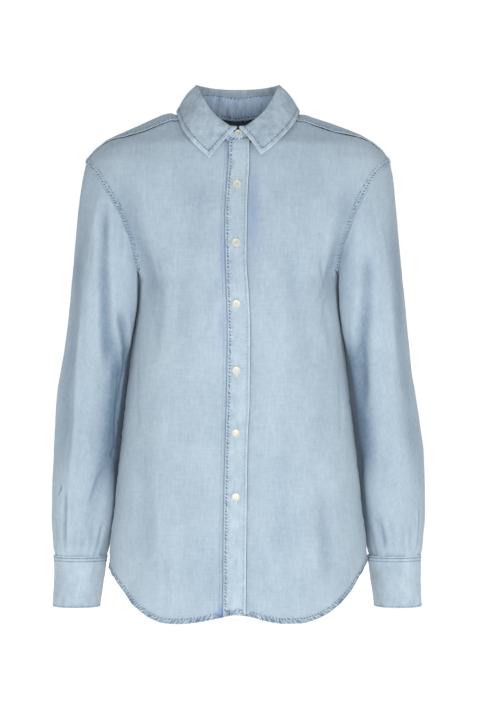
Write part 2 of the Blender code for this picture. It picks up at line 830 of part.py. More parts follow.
def yoke_half():
    """Points of half the yoke at +X, from the front seam to the back centre."""
    rows = YOKE_ARM_CELLS + YOKE_CELLS
    inner = neck_points(np.linspace(NECK_SEAM_ANGLE, 180, rows + 1))
    outer = np.concatenate([back_armhole()[0][BACK_ARM_CELLS:][::-1], yoke_back_seam()[::-1][1:]])
    first = yoke_front_seam()
    across = shares_of(first)
    centre_z = inner[-1, 2] + (YOKE_BACK_Z - inner[-1, 2]) * across
    last = on_body(0, centre_z, True)
    inner[-1] = last[0]
    edges = [over_shoulder(edge) for edge in (inner, outer, first, last)]
    points = from_over_shoulder(fill(*edges, across, np.linspace(0, 1, rows + 1)))
    points[:, 0] = inner
    points[:, -1] = outer
    points[0] = first
    points[-1] = last
    return points


def yoke():
    half = yoke_half()
    points = np.concatenate([on_side(half, "right"), on_side(half, "left")[::-1][1:]])
    sheet, normals = creased(points)
    wall("yoke", drawn_back(sheet, normals), normals, CLOTH)


# --- Sleeves and cuffs


def rounded(values, roundness):
    return np.sign(values) * np.abs(values) ** (2 / roundness)


def sleeve_ring(side, z, angle):
    """A point of a level section of the sleeve at +X. Angle 0 is outside, 90 in front."""
    outer = curve(SLEEVE, SLEEVE_COLUMNS, "z", side + "_outer")(z)
    inner = curve(SLEEVE, SLEEVE_COLUMNS, "z", "inner")(z)
    turn = np.radians(angle)
    x = (outer + inner) / 2 + (outer - inner) / 2 * rounded(np.cos(turn), SLEEVE_ROUNDNESS)
    y = curve(SLEEVE, SLEEVE_COLUMNS, "z", "centre_y")(z)
    y = y - curve(SLEEVE, SLEEVE_COLUMNS, "z", "half_depth")(z) * rounded(np.sin(turn), SLEEVE_ROUNDNESS)
    return np.stack([x, y, z + 0 * x], axis=-1)


def sleeve_seam(side):
    """The creased armhole from the shoulder point forward and round, with its angles."""
    before = front_armhole(side)[::-1]
    behind, shares = back_armhole()
    angles = np.r_[np.linspace(0, 180, len(before)), 180 + 180 * shares[1:-1]]
    seam = np.concatenate([before, behind[1:-1]])
    return on_side(creased(on_side(seam, side))[0], side), angles


def beside_body(points, amount):
    """Keeps sleeve points at +X clear of the body."""
    x, y, z = np.moveaxis(points, -1, 0)
    share = np.clip(np.abs(y) / depth_at(z, y > 0), 0, 1)
    least = half_width(z) * (1 - share**2) ** (1 / ROUNDNESS) + SLEEVE_ROOM * amount
    soft = SLEEVE_SOFTNESS * amount
    clear = (x + least + np.sqrt((x - least) ** 2 + soft**2)) / 2
    return np.stack([np.where(amount > 0, clear, x), y, z], axis=-1)


def sleeve_points(side, angle, t):
    """Points of the sleeve at +X by angle and by share of the way from armhole to cuff."""
    seam, angles = sleeve_seam(side)
    closed = np.concatenate([seam, seam[:1]])
    turns = np.r_[angles, 360]
    start = np.stack([np.interp(angle % 360, turns, axis) for axis in closed.T], axis=-1)
    z = start[..., 2] + (SLEEVE_END_Z - start[..., 2]) * t
    pull = start - sleeve_ring(side, start[..., 2], angle)
    hold = (1 - ease(t / SLEEVE_HEAD))[..., None]
    return beside_body(sleeve_ring(side, z, angle) + pull * hold, ease(t / SLEEVE_CLEAR))


def sleeve_folds(side):
    seam, angles = sleeve_seam(side)
    turns = np.r_[angles, 360]
    heights = np.r_[seam[:, 2], seam[0, 2]]
    folds = []
    for row in SLEEVE_FOLDS[side]:
        fold = dict(zip(SLEEVE_FOLD_COLUMNS, row))
        ends = []
        for end in ("1", "2"):
            angle = float(fold["angle" + end])
            start = np.interp(angle % 360, turns, heights)
            share = (fold["z" + end] - start) / (SLEEVE_END_Z - start)
            ends.append(sleeve_points(side, np.array(angle), share))
        folds.append((*ends, fold["depth"], fold["half_width"]))
    return folds


def facing_out(normals, points, centre):
    return normals * np.sign(np.sum(normals * (points - centre)))


def sleeve_sheet(side):
    seam, angles = sleeve_seam(side)
    t = np.linspace(0, 1, SLEEVE_CELLS + 1)[:, None]
    points = sleeve_points(side, angles[None] + 0 * t, t + 0 * angles[None])
    points[0] = seam
    normals = sheet_normals(points, closed=True)
    normals = facing_out(normals, points, points.mean(axis=1, keepdims=True))
    points = points - normals * pressed(points, sleeve_folds(side))[..., None]
    normals = sheet_normals(points, closed=True)
    normals = facing_out(normals, points, points.mean(axis=1, keepdims=True))
    body = body_normals(seam)
    alike = ease(np.sum(body * normals[0], axis=-1))[:, None]
    rim = normals[0] + alike * (body - normals[0]) * SLEEVE_RIM_TURN
    normals[0] = rim / np.linalg.norm(rim, axis=-1, keepdims=True)
    return points, normals, angles


def sleeve(side):
    points, normals, angles = sleeve_sheet(side)
    sheet = drawn_back(points, normals, closed=True)
    wall("sleeve_" + side, on_side(sheet, side), on_side(normals, side), CLOTH, closed=True)
    first = int(np.argmin(np.abs(angles - SLIT_ANGLE)))
    part = np.s_[-SLIT_ROWS - 1 :, first : first + SLIT_COLUMNS + 1]
    strip = sheet[part] + normals[part] * (GAP + CLOTH)
    strip = drawn_back(strip, normals[part])
    wall("sleeve_placket_" + side, on_side(strip, side), on_side(normals[part], side), CLOTH)


def cuff_point(side, z, angle, lift):
    """A point of the cuff at +X, moved out by lift."""
    centre = curve(CUFF, CUFF_COLUMNS, "z", side + "_centre_x")(z)
    wide = curve(CUFF, CUFF_COLUMNS, "z", "half_width")(z) + lift
    deep = curve(CUFF, CUFF_COLUMNS, "z", "half_depth")(z) + lift
    turn = np.radians(angle)
    y = curve(CUFF, CUFF_COLUMNS, "z", "centre_y")(z) - deep * np.sin(turn)
    return np.stack([centre + wide * np.cos(turn), y, z + 0 * y], axis=-1)


def cuff(side):
    turn = np.linspace(0, CUFF_TURN, CUFF_CELLS + 1)[None]
    z = np.linspace(CUFF[0][0], CUFF[-1][0], CUFF_ROWS + 1)[:, None]
    lift = (CUFF_CLOTH + GAP) * ease((turn - CUFF_TURN + CUFF_LAP + CUFF_LAP_RISE) / CUFF_LAP_RISE)
    points = cuff_point(side, z, CUFF_START - turn, lift)
    normals = facing_out(sheet_normals(points), points, points.mean(axis=1, keepdims=True))
    wall("cuff_" + side, on_side(points, side), on_side(normals, side), CUFF_CLOTH, DENIM_PALE)


# --- Collar


def round_neck(angle, half, before, behind):
    """A point of an oval seen from above. Angle 90 is at the wearer's right."""
    turn = np.radians(angle)
    deep = np.where(np.cos(turn) > 0, before, behind)
    return np.stack([-half * np.sin(turn), -deep * np.cos(turn)], axis=-1)


def away_from_neck(angle):
    """Level directions out of the neck."""
    turn = np.radians(angle)
    deep = np.where(np.cos(turn) > 0, NECK_FRONT, NECK_BACK)
    out = np.stack([-np.sin(turn) / NECK_HALF_WIDTH, -np.cos(turn) / deep, 0 * turn], axis=-1)
    return out / np.linalg.norm(out, axis=-1, keepdims=True)


def stand_laps(angle):
    """How far the stand's first end is moved out, and its last end in, to lap at the front."""
    step = (STAND_CLOTH + 2 * GAP) / 2
    start = 1 - ease((angle - STAND_END) / STAND_RAMP)
    return start * step, ease((angle - 360 + STAND_END + STAND_RAMP) / STAND_RAMP) * step


def stand_points(angle, share):
    """Points of the stand's outer side, by angle round the neck and share of its height."""
    angle, share = np.broadcast_arrays(np.asarray(angle, float), np.asarray(share, float))
    seam = round_neck(angle, NECK_HALF_WIDTH, NECK_FRONT, NECK_BACK)
    foot = np.concatenate([seam, body_height(seam[..., 0], seam[..., 1])[..., None]], axis=-1)
    out = away_from_neck(angle)
    body = body_normals(foot)
    into = -(out - body * np.sum(out * body, axis=-1, keepdims=True))
    into /= np.linalg.norm(into, axis=-1, keepdims=True)
    turned = np.abs((angle + 180) % 360 - 180)
    height = curve(STAND, STAND_COLUMNS, "angle", "height")(turned)
    lean = curve(STAND, STAND_COLUMNS, "angle", "lean")(turned)
    start, end = stand_laps(angle)
    raised = STAND_LIFT - start * np.sum(out * into, axis=-1)
    moved = start - end - lean * share**STAND_CURVE
    points = foot + into * raised[..., None] + out * moved[..., None]
    points[..., 2] += height * share
    return points


def stand():
    angle = np.arange(-STAND_END, 360 + STAND_END + 1, COLLAR_STEP)[None]
    points = stand_points(angle, np.linspace(0, 1, STAND_ROWS + 1)[:, None])
    normals = sheet_normals(points)
    normals = facing_out(normals, normals * 0 + away_from_neck(angle), 0)
    wall("collar_stand", points, normals, STAND_CLOTH, DENIM_PALE)


def leaf_points(angle):
    """The leaf's upper side, from the stand over the fold to the edge."""
    fold_z, *edge = (curve(LEAF, LEAF_COLUMNS, "angle", name)(angle) for name in LEAF_COLUMNS[1:])
    edge = np.stack(edge, axis=-1)
    start, end = (lap[:, None] for lap in stand_laps(angle))
    turned = np.abs((angle + 180) % 360 - 180)[:, None]
    width = curve(FOLD_ROUND, FOLD_ROUND_COLUMNS, "angle", "width")(turned)
    drop = curve(FOLD_ROUND, FOLD_ROUND_COLUMNS, "angle", "drop")(turned)
    out = away_from_neck(angle)
    up = np.array([0, 0, 1.0])
    root = stand_points(angle, 1) - out * STAND_CLOTH + up * LEAF_LIFT
    oval = round_neck(angle, FOLD_HALF_WIDTH, FOLD_FRONT, FOLD_BACK)
    fold = np.concatenate([oval, fold_z[:, None]], axis=1) + out * start
    inner = root + up * (fold - root)[:, 2:] * FOLD_INNER_SHARE - out * FOLD_INNER_LEAN
    outer = fold + out * (width + 2 * end) - up * drop
    rows = [root, inner, fold, outer]
    for share in LEAF_SHARES:
        crown = 4 * share * (1 - share)
        rows.append(outer + (edge - outer) * share + (out * LEAF_CROWN_OUT + up * LEAF_CROWN_UP) * crown)
    return np.stack([*rows, edge])


def leaf():
    angle = np.r_[LEAF[0][0], np.arange(COLLAR_STEP, 360, COLLAR_STEP), LEAF[-1][0]]
    points = leaf_points(angle)
    normals = sheet_normals(points)
    normals *= np.sign(np.sum(normals[-2] * away_from_neck(angle)))
    wall("collar_leaf", points, normals, LEAF_CLOTH, DENIM_PALE)


# --- Buttons


def button(name, place, normal):
    """A round button with its back at a place and its face along a normal."""
    bm = bmesh.new()
    ring = [bm.verts.new((radius * MM, 0, height * MM)) for radius, height in BUTTON_PROFILE]
    for low, high in zip(ring, ring[1:]):
        bm.edges.new((low, high))
    bmesh.ops.spin(
        bm, geom=bm.verts[:] + bm.edges[:], axis=(0, 0, 1), cent=(0, 0, 0), angle=2 * math.pi,
        steps=BUTTON_SIDES, use_merge=True,
    )
    bmesh.ops.remove_doubles(bm, verts=bm.verts, dist=0.00002)
    turn = Vector((0, 0, 1)).rotation_difference(Vector(normal)).to_matrix().to_4x4()
    bmesh.ops.transform(bm, matrix=Matrix.Translation(Vector(place * MM)) @ turn, verts=bm.verts)
    finish(name, bm, BUTTON_WHITE, BUTTON_ROUGHNESS)


def buttons():
    for number, (x, z) in enumerate(FRONT_BUTTONS, 1):
        place, normal = creased(on_body([x], [z], False), 2 * GAP + PLACKET_CLOTH)
        button(f"button_front_{number}", place[0], normal[0])
    x, z = COLLAR_BUTTON
    angle = -math.degrees(math.asin(x / NECK_HALF_WIDTH))
    foot, top = stand_points(np.array([angle, angle]), np.array([0.0, 1.0]))
    share = (z - foot[2]) / (top[2] - foot[2])
    slope = top - foot
    normal = np.cross(slope, (1, 0, 0))
    normal /= np.linalg.norm(normal)
    normal *= -np.sign(normal[1])
    button("button_collar", stand_points(angle, share) + normal * GAP, normal)
    for side in SIDES:
        lift = CUFF_CLOTH + 2 * GAP
        place = cuff_point(side, CUFF_BUTTON_Z, CUFF_BUTTON_ANGLE, lift)
        turn = math.radians(CUFF_BUTTON_ANGLE)
        normal = np.array([math.cos(turn), -math.sin(turn), 0])
        button("button_cuff_" + side, on_side(place, side), on_side(normal, side))


def main():
    for thing in list(bpy.data.objects):
        bpy.data.objects.remove(thing, do_unlink=True)
    back()
    yoke()
    for side in SIDES:
        front(side)
        sleeve(side)
        cuff(side)
    placket()
    stand()
    leaf()
    buttons()


main()
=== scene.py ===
"""The looks of a light-washed denim shirt: its cloth, seams, stitching, collar and buttons.

Sizes are in millimetres, and every mesh is in metres in the frame of the model.
X runs to the wearer's left, Y to the back and Z up. The forms are those of the
model's own solids, laid out on the same sections and seams at a finer step.
"""

import math
from functools import partial

import bpy
import numpy as np
from mathutils import Matrix, Vector


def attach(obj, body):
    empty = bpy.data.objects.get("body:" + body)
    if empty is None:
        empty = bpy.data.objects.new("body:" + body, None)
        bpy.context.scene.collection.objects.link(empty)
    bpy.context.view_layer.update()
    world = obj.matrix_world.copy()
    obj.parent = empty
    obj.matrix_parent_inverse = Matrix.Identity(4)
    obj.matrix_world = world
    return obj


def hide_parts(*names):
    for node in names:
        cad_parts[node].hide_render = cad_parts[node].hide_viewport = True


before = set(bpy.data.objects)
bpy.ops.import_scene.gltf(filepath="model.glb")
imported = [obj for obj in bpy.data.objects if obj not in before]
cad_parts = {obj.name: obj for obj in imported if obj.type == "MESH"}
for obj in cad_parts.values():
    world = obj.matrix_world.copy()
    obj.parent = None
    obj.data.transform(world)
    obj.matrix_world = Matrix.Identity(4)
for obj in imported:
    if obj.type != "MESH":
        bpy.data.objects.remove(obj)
bpy.ops.object.select_all(action="DESELECT")
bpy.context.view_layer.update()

MM = 0.001
FAR = 40.0  # what the finish reads as distance where no seam or edge is near

# Cloth
CLOTH = 1.0  # one layer
PLACKET_CLOTH = 1.9
STRIP_CLOTH = 1.6
STAND_CLOTH = 1.8
LEAF_CLOTH = 1.6
CUFF_CLOTH = 2.2
GAP = 0.3  # between a piece and the one it lies on
UNDERLAP = 2.0  # between the two fronts where one buttons over the other
UNDER_PLACKET = 0.7  # how far the front lies in under its placket

# Body: half sections through the torso, front and back depth from the side seams
ROUNDNESS = 2.5
TORSO_COLUMNS = ("z", "half_width", "front_depth", "back_depth")
TORSO = (
    (6, 20, 15, 55), (3.5, 52, 20, 62), (1, 66, 24, 67), (-4, 90, 33, 72), (-8, 114, 41, 75),
    (-19, 143, 57, 80.5), (-32, 171, 72, 85), (-46, 193, 88, 89.5), (-58, 205, 92.5, 92.5),
    (-70, 212.5, 96, 95), (-95, 215, 102, 99), (-117, 211, 107.5, 101.5), (-145, 197, 114, 104.5),
    (-170, 180, 118, 104.8), (-200, 158, 123, 103.5), (-220, 146, 125, 102.5), (-235, 139, 126, 102),
    (-265, 140, 126.5, 100), (-310, 145, 126.5, 98), (-380, 153, 127, 99.8), (-440, 160, 129, 102),
    (-506, 168, 132, 105.5), (-555, 172, 134, 108), (-600, 178, 136, 110), (-640, 180, 138, 112),
    (-725, 182, 140, 115),
)
SHOULDER_Z = -70
ARMPIT_Z = -235

# Neck seam, an oval seen from above
NECK_HALF_WIDTH = 72
NECK_FRONT = 88
NECK_BACK = 72
NECK_SEAM_ANGLE = 62.5  # from the front centre to the end of the yoke

# Armhole between the armpit and the shoulder point, where it crosses the body
ARMHOLE_COLUMNS = ("z", "right_front_x", "left_front_x", "back_x")
ARMHOLE = (
    (-80, 203.5, 200, 206), (-93, 193.3, 188, 199), (-107, 185.2, 180, 192.5), (-120, 178, 173, 186),
    (-137, 169.6, 166, 177.5), (-153, 163, 160.5, 170), (-170, 157.4, 155.8, 163), (-190, 150.2, 149.8, 153.5),
    (-205, 144.7, 145, 147), (-221, 139.8, 140.2, 140.5),
)

# Yoke seam across the front of the shoulder, x and z, and its height on the back
YOKE_FRONT = (
    (87.8, -14.5), (110, -20.5), (131.8, -27.1), (152, -31.5), (171.6, -36.8), (187, -44.2), (199.5, -53.4),
)
YOKE_BACK_Z = -85

# Hem, a shirt tail with rounded sides
HEM_COLUMNS = ("x", "right_front_z", "left_front_z", "back_z")
HEM = (
    (-30, -690, -692, -708), (0, -690.5, -691.5, -708), (20, -694, -694.5, -708), (40, -698.5, -700, -708),
    (63, -702.5, -703.2, -708), (84, -704.2, -703.2, -705.5), (103, -703, -699.5, -701),
    (124, -695.3, -690.5, -690), (136, -686.8, -681.5, -681), (148, -676, -671, -670),
    (157, -663.5, -661, -660), (166, -653, -648, -650), (174, -644, -636, -642), (180, -637, -628, -637),
)
SIDE_HEM_Z = {"right": -637, "left": -628}

# Placket, in place on the body
PLACKET_COLUMNS = ("z", "sewn_x", "free_x")
PLACKET = (
    (-40, -12.5, 15.5), (-72, -13.5, 15.5), (-110, -16, 13.5), (-149, -18.2, 12.3), (-210, -17.4, 11.6),
    (-251, -16.2, 14.3), (-305, -14.6, 16.3), (-400, -16, 15.8), (-454, -17.6, 13.2), (-589, -20.3, 11.3),
    (-700, -20.8, 10.3),
)
PLACKET_TOP_Z = -46  # where the placket meets the neck seam
LEFT_EDGE_COVER = 3  # the left front's edge lies this far inside the placket's seam
LEFT_STEP = 4  # and starts to dip under the placket this far outside its free edge
LEFT_RISE = 26  # width of that dip

# Sleeve rings, level sections from the shoulder down
SLEEVE_ROUNDNESS = 2.2
SLEEVE_COLUMNS = ("z", "right_outer", "left_outer", "inner", "centre_y", "half_depth")
SLEEVE = (
    (-70, 212.5, 212.5, 128, 0, 62), (-95, 218.3, 217, 129, 0, 64), (-119, 221.5, 220, 130, 0, 65),
    (-175, 227, 225.5, 134, 1, 65), (-231, 232.5, 231, 135, 4, 64), (-276, 237, 235.5, 132, 11, 64),
    (-321, 243, 240, 134, 18, 63), (-365, 250, 244.5, 141, 23, 62), (-388, 254.3, 249, 146, 25, 61),
    (-433, 257.5, 256, 153, 28, 59), (-477, 259.5, 262, 160, 29, 57), (-533, 262, 263.5, 165, 29, 54),
    (-567, 262, 263, 170, 27, 50), (-589, 260.5, 260.5, 176.5, 24.5, 46), (-612, 258.8, 257.5, 182.5, 22, 41),
    (-620, 258, 256.5, 184, 22, 39),
)
SLEEVE_END_Z = -619.7
SLEEVE_HEAD = 0.36  # share of a sleeve's length over which it leaves the armhole's shape
SLEEVE_ROOM = 1.6  # between the hanging sleeve and the body
SLEEVE_SOFTNESS = 4  # rounds the line where the body presses the sleeve
SLEEVE_CLEAR = 0.08  # share of a sleeve's length over which it comes clear of the body

# Cuff: a band that starts at the back, goes round past the body and ends over itself
CUFF_COLUMNS = ("z", "right_centre_x", "left_centre_x", "centre_y", "half_width", "half_depth")
CUFF = (
    (-620, 221, 219.6, 22, 37.8, 39.6), (-655, 223.6, 222, 22, 35.4, 41), (-692, 227.2, 225, 22, 33, 42),
)
CUFF_START = -82
CUFF_TURN = 384
CUFF_LAP = 24
CUFF_LAP_RISE = 24
CUFF_BUTTON_ANGLE = -95
CUFF_BUTTON_Z = -656

# Strip over the slit above the cuff, by angle round the sleeve and share of its length
SLIT_ANGLES = (246.2, 279.2)
SLIT_TOP = 16 / 21

# Collar stand, by angle round the neck from the front centre
STAND_COLUMNS = ("angle", "height", "lean")
STAND = (
    (0, 14.5, 4.5), (30, 17.5, 5.5), (60, 24, 10), (90, 28, 14), (130, 31, 11), (180, 32, 9),
)
STAND_END = 12  # the stand's ends pass the front centre by this angle
STAND_RAMP = 16
STAND_LIFT = 0.45  # clear of the neck seam's edge
STAND_CURVE = 1.15  # power of the height by which the stand leans in

# Collar leaf, from the right end round the back to the left end
LEAF_COLUMNS = ("angle", "fold_z", "edge_x", "edge_y", "edge_z")
LEAF = (
    (1.6, -26, -39.1, -99.5, -69.7), (9, -24.7, -45.6, -97.5, -63.5), (18, -19.3, -51, -95.5, -58.5),
    (28.5, -11.4, -57.5, -93, -52), (40.7, -0.7, -68.7, -83.5, -39.3), (51, 11.2, -77.8, -66, -25.2),
    (61, 22, -82, -50.5, -15), (71.5, 32.4, -84.8, -34, -5.6), (81, 37, -86, -17, -1), (90, 39.5, -86.3, 0, 1),
    (99, 40, -86, 16, 0.6), (108, 40, -84.6, 30, -0.5), (118, 40, -79.5, 46, -1.6),
    (129, 39.6, -69.5, 62.5, -3.9), (140, 39, -58, 72, -7), (160, 38.4, -31, 80, -9.4),
    (180, 38.2, 0, 81.5, -10.5), (200, 38.4, 31, 80, -9.4), (220, 39, 58, 72, -7),
    (231, 39.6, 69.5, 62.5, -3.9), (242, 40, 79.5, 46, -1.6), (252, 40, 84.6, 30, -0.5), (261, 40, 86, 16, 0.6),
    (270, 39.5, 86.3, 0, 1), (279, 37, 85.6, -17, -1), (288.5, 32.4, 83.8, -34, -5.4),
    (299, 22, 80.3, -49.5, -14), (309, 11.2, 75.3, -62, -22.1), (319.3, -0.7, 64.8, -78.5, -35.2),
    (331.5, -11.4, 51.3, -93, -49.3), (342, -19.3, 44, -96.5, -56), (351, -24.7, 38, -98.5, -60.6),
    (358.2, -26, 31.5, -100, -65.4),
)
LEAF_LIFT = 0.5  # the leaf's first row above the top of the stand
LEAF_CROWN_OUT = 1.25  # how far the leaf bulges out between its fold and its edge
LEAF_CROWN_UP = 2  # and up
LEAF_SHARES = (0.33, 0.67)  # where the leaf's crown is read between the fold and the edge

# Fold of the leaf, an oval seen from above
FOLD_HALF_WIDTH = 57.5
FOLD_FRONT = 85.5
FOLD_BACK = 63
FOLD_ROUND_COLUMNS = ("angle", "width", "drop")
FOLD_ROUND = ((0, 5.5, 1.5), (45, 3.4, 2.8), (180, 3.4, 2.8))
FOLD_INNER_SHARE = 0.55  # of the rise from the stand to the fold
FOLD_INNER_LEAN = 0.4

# Buttons: x and z of their places seen from the front, and radius and height along a button's profile
FRONT_BUTTONS = ((-1.3, -107), (-2.8, -186.8), (-2.1, -269.5), (-2, -359.9), (-2.7, -444.7), (-3.1, -531.2))
COLLAR_BUTTON = (0.8, -36.2)
BUTTON_PROFILE = (
    (5.1, 0), (5.6, 0.5), (5.75, 1.0), (5.75, 1.6), (5.5, 2.0), (5.05, 2.2), (4.6, 2.12), (4.2, 1.85),
    (3.8, 1.6), (3.2, 1.5),
)
BUTTON_SIDES = 48
BUTTON_HOLES = ((-1.3, -1.3), (-1.3, 1.3), (1.3, -1.3), (1.3, 1.3))
BUTTON_HOLE_RADIUS = 0.65
BUTTON_THREAD_REACH = 1.6  # half length of the thread from hole to hole
BUTTON_THREAD = 0.34  # its half width
BUTTON_THREAD_BESIDE = 0.32  # its two turns lie this far beside the middle

# Buttonholes, half sizes
HOLE_HALF_LENGTH = 7.3
HOLE_SIDE = 1.05  # from the slit to the middle of the stitches beside it
HOLE_STEP = 0.55  # from stitch to stitch
HOLE_STITCH = 0.95
HOLE_BAR = 1.9
HOLE_THREAD = 0.32
HOLE_LIFT = 0.1  # above the cloth

# Folds pressed into the body: ends, depth and half width of a trough
BODY_FOLD_COLUMNS = ("x1", "z1", "x2", "z2", "depth", "half_width")
FRONT_FOLDS = (
    (-165, -75, -120, -300, 7.5, 36), (155, -80, 130, -280, 7.0, 30), (-113, -160, -116, -360, 2.6, 20),
    (118, -175, 132, -350, 3.0, 18), (-60, -130, -86, -360, 1.6, 24), (62, -140, 92, -380, 1.6, 24),
    (-130, -430, -124, -655, 3.2, 26), (116, -500, 124, -665, 4.0, 22), (66, -420, 58, -660, 1.8, 30),
    (-58, -460, -68, -690, 1.8, 28),
    # finer ones
    (-114, -200, -110, -275, 1.8, 10), (114, -200, 122, -250, 2.0, 9), (-128, -226, -96, -262, 1.3, 9),
    (-132, -240, -108, -300, 1.4, 9), (130, -226, 104, -270, 1.4, 9), (126, -246, 110, -310, 1.2, 8),
    (-96, -120, -92, -210, 0.9, 12), (98, -118, 92, -215, 0.9, 12), (-44, -86, -60, -150, 1.1, 11),
    (46, -84, 64, -150, 1.1, 11), (-140, -330, -136, -460, 1.4, 13), (140, -350, 142, -470, 1.2, 13),
    (-92, -380, -98, -500, 0.9, 15), (-34, -230, -48, -330, 0.8, 12), (36, -240, 52, -345, 0.8, 12),
    (-36, -560, -44, -680, 1.0, 13), (34, -570, 40, -690, 1.0, 13), (-100, -610, -96, -690, 1.3, 12),
    (92, -600, 88, -690, 1.2, 12),
    # creases in the placket, near its ends
    (-15, -58, -3, -82, 1.6, 3.8), (-14, -92, -4, -70, 1.6, 3.8), (-15, -102, -5, -92, 1.2, 3.2),
    (-14, -126, -6, -116, 1.0, 3.0), (-15, -150, -8, -143, 0.9, 2.8), (-19, -672, -6, -700, 1.3, 3.8),
    (-6, -676, -18, -702, 1.2, 3.4), (8, -668, 2, -694, 0.9, 3.2),
)
BACK_FOLDS = (
    (-152, -115, -126, -270, 6.0, 22), (152, -115, 126, -270, 6.0, 22), (-66, -130, -96, -430, 4.5, 30),
    (72, -150, 92, -460, 4.5, 30), (-4, -260, 8, -640, 4.0, 32), (-122, -400, -110, -680, 5.0, 28),
    (114, -380, 124, -665, 5.0, 28),
    # finer ones
    (-136, -130, -116, -230, 1.8, 9), (136, -130, 116, -230, 1.8, 9), (-96, -100, -88, -190, 1.4, 12),
    (98, -100, 86, -200, 1.4, 12), (-30, -100, -40, -230, 1.3, 14), (34, -100, 40, -240, 1.3, 14),
    (-128, -240, -92, -290, 1.6, 10), (128, -240, 96, -290, 1.6, 10), (-50, -420, -60, -600, 1.8, 16),
    (52, -440, 56, -620, 1.8, 16), (-140, -300, -142, -470, 2.0, 14), (140, -320, 142, -470, 2.0, 14),
)

# Folds in the sleeves, by angle round the sleeve: 0 outside, 90 front
SLEEVE_FOLD_COLUMNS = ("angle1", "z1", "angle2", "z2", "depth", "half_width")
HIDDEN_SLEEVE_FOLDS = (
    (-70, -190, -105, -360, 6.5, 24), (-120, -320, -75, -440, 7.0, 24), (-60, -410, -95, -530, 6.0, 22),
    (-30, -470, -50, -600, 4.5, 18), (-84, -150, -92, -230, 2.2, 10), (-100, -380, -128, -440, 2.4, 11),
    (-110, -470, -84, -560, 2.6, 12), (-20, -250, -34, -330, 2.0, 11), (-140, -480, -120, -600, 2.6, 12),
    (-64, -560, -70, -617, 3.0, 10), (-96, -570, -98, -617, 2.6, 9),
)
SLEEVE_FOLDS = {
    "right": (
        (27, -96, 30, -560, 6.0, 34), (51, -96, 54, -420, -2.6, 12), (53, -290, 64, -560, -2.6, 12),
        (58, -120, 84, -262, 6.0, 16), (76, -210, 106, -372, 7.0, 17), (108, -270, 147, -368, 6.0, 15),
        (150, -290, 160, -545, 5.0, 40), (134, -330, 138, -440, 3.0, 9), (122, -350, 142, -470, 2.2, 8),
        (157, -456, 131, -484, 4.0, 9), (116, -497, 95, -553, 3.2, 8), (106, -505, 92, -545, -1.6, 4.5),
        (124, -465, 100, -600, 4.0, 20), (56, -520, 58, -617, 3.6, 6.5), (66, -520, 68, -610, -2.2, 6),
        (49, -522, 39, -534, 2.8, 3.6),
        # finer ones
        (98, -140, 104, -230, 1.0, 9), (84, -330, 96, -420, 1.3, 10), (88, -420, 100, -480, 1.4, 8),
        (104, -500, 84, -560, 1.6, 8), (30, -560, 34, -617, 2.6, 7), (78, -575, 80, -617, 2.2, 6),
        (92, -575, 94, -617, 2.2, 6), (108, -565, 112, -617, 2.2, 7), (128, -570, 130, -617, 2.4, 7),
        *HIDDEN_SLEEVE_FOLDS,
    ),
    "left": (
        (25, -96, 27, -580, 5.5, 34), (51, -96, 57, -380, -2.4, 14), (74, -180, 102, -320, 5.0, 19),
        (98, -270, 126, -420, 5.5, 20), (140, -300, 160, -530, 5.0, 40), (158, -450, 157, -605, 4.0, 24),
        (120, -560, 112, -612, 3.0, 14), (37, -548, 39, -617, 3.4, 5.5), (44, -545, 46, -612, -1.8, 5.5),
        # finer ones
        (78, -400, 86, -470, 1.0, 11), (66, -460, 74, -540, 1.3, 10), (96, -560, 92, -617, 2.2, 7),
        (76, -575, 78, -617, 2.2, 6), (58, -570, 60, -617, 2.4, 7), (112, -570, 114, -617, 2.2, 6),
        *HIDDEN_SLEEVE_FOLDS,
    ),
}
# Painted shade on a sleeve's cloth: darker in its valleys and where it lies against the body
SLEEVE_FOLD_SHADE = {
    "right": (
        (62, -130, 86, -262, 6, 15), (78, -220, 104, -370, 6.5, 15), (100, -285, 126, -415, 6, 13),
        (108, -270, 148, -372, 8, 16), (150, -300, 160, -550, 18, 58), (27, -100, 30, -545, 3, 30),
        (156, -448, 126, -492, 9, 6), (122, -480, 96, -556, 3, 6), (49, -518, 39, -538, 16, 3.4),
        (57, -522, 56, -614, 6, 5),
    ),
    "left": (
        (76, -190, 102, -320, 5, 17), (98, -275, 126, -420, 6, 18), (130, -300, 152, -530, 16, 42),
        (158, -450, 157, -600, 7, 24), (24, -100, 26, -560, 2, 30), (37, -545, 39, -614, 6, 5),
    ),
}
FOLD_LIP = 2.5  # how soon a trough's sides rise, and so the lips beside it
LIPPED = 14  # half width up to which a trough has full lips; from twice this it has none
FOLD_TAPER = 3.2  # how soon a trough gets deep from its ends

# How far the cloth near the shoulder line lies above the body's even form, by distance from the centre
SHOULDER_COLUMNS = ("x", "right", "left")
SHOULDER = (
    (80, 0, 0), (86, 0.6, 0.6), (95, 4.2, 1.6), (104, 3.4, 0), (113, 1.4, -1.4), (122, -0.2, -2.0), (132, -1.0, -1.9),
    (146, -1.4, -1.1), (158, -1.3, -0.2), (170, -0.4, 0.3), (184, 0, 0.3), (196, 0, 0),
)
SHOULDER_REACH = 16  # how far below the shoulder line that fades
CHEST_TURN_Z = -44
CHEST_CUT = 1.8

# Unevenness of the cloth: height, size of the lumps and seed
LUMPS = {
    "body": ((0.9, (34, 34, 70), 3), (0.32, (15, 15, 24), 5), (0.14, 6.5, 7)),
    "cuff": ((0.8, (16, 16, 30), 9), (0.25, (7, 7, 9), 10)),
    "stand": ((0.8, (9, 9, 26), 17), (0.3, (4.5, 4.5, 12), 18)),
    "leaf": ((0.9, (26, 26, 26), 27), (0.3, (9, 9, 9), 28)),
}
LUMPS_SHIFT = {"right": 100, "left": 140}  # so that the sleeves' lumps differ from each other and the body's

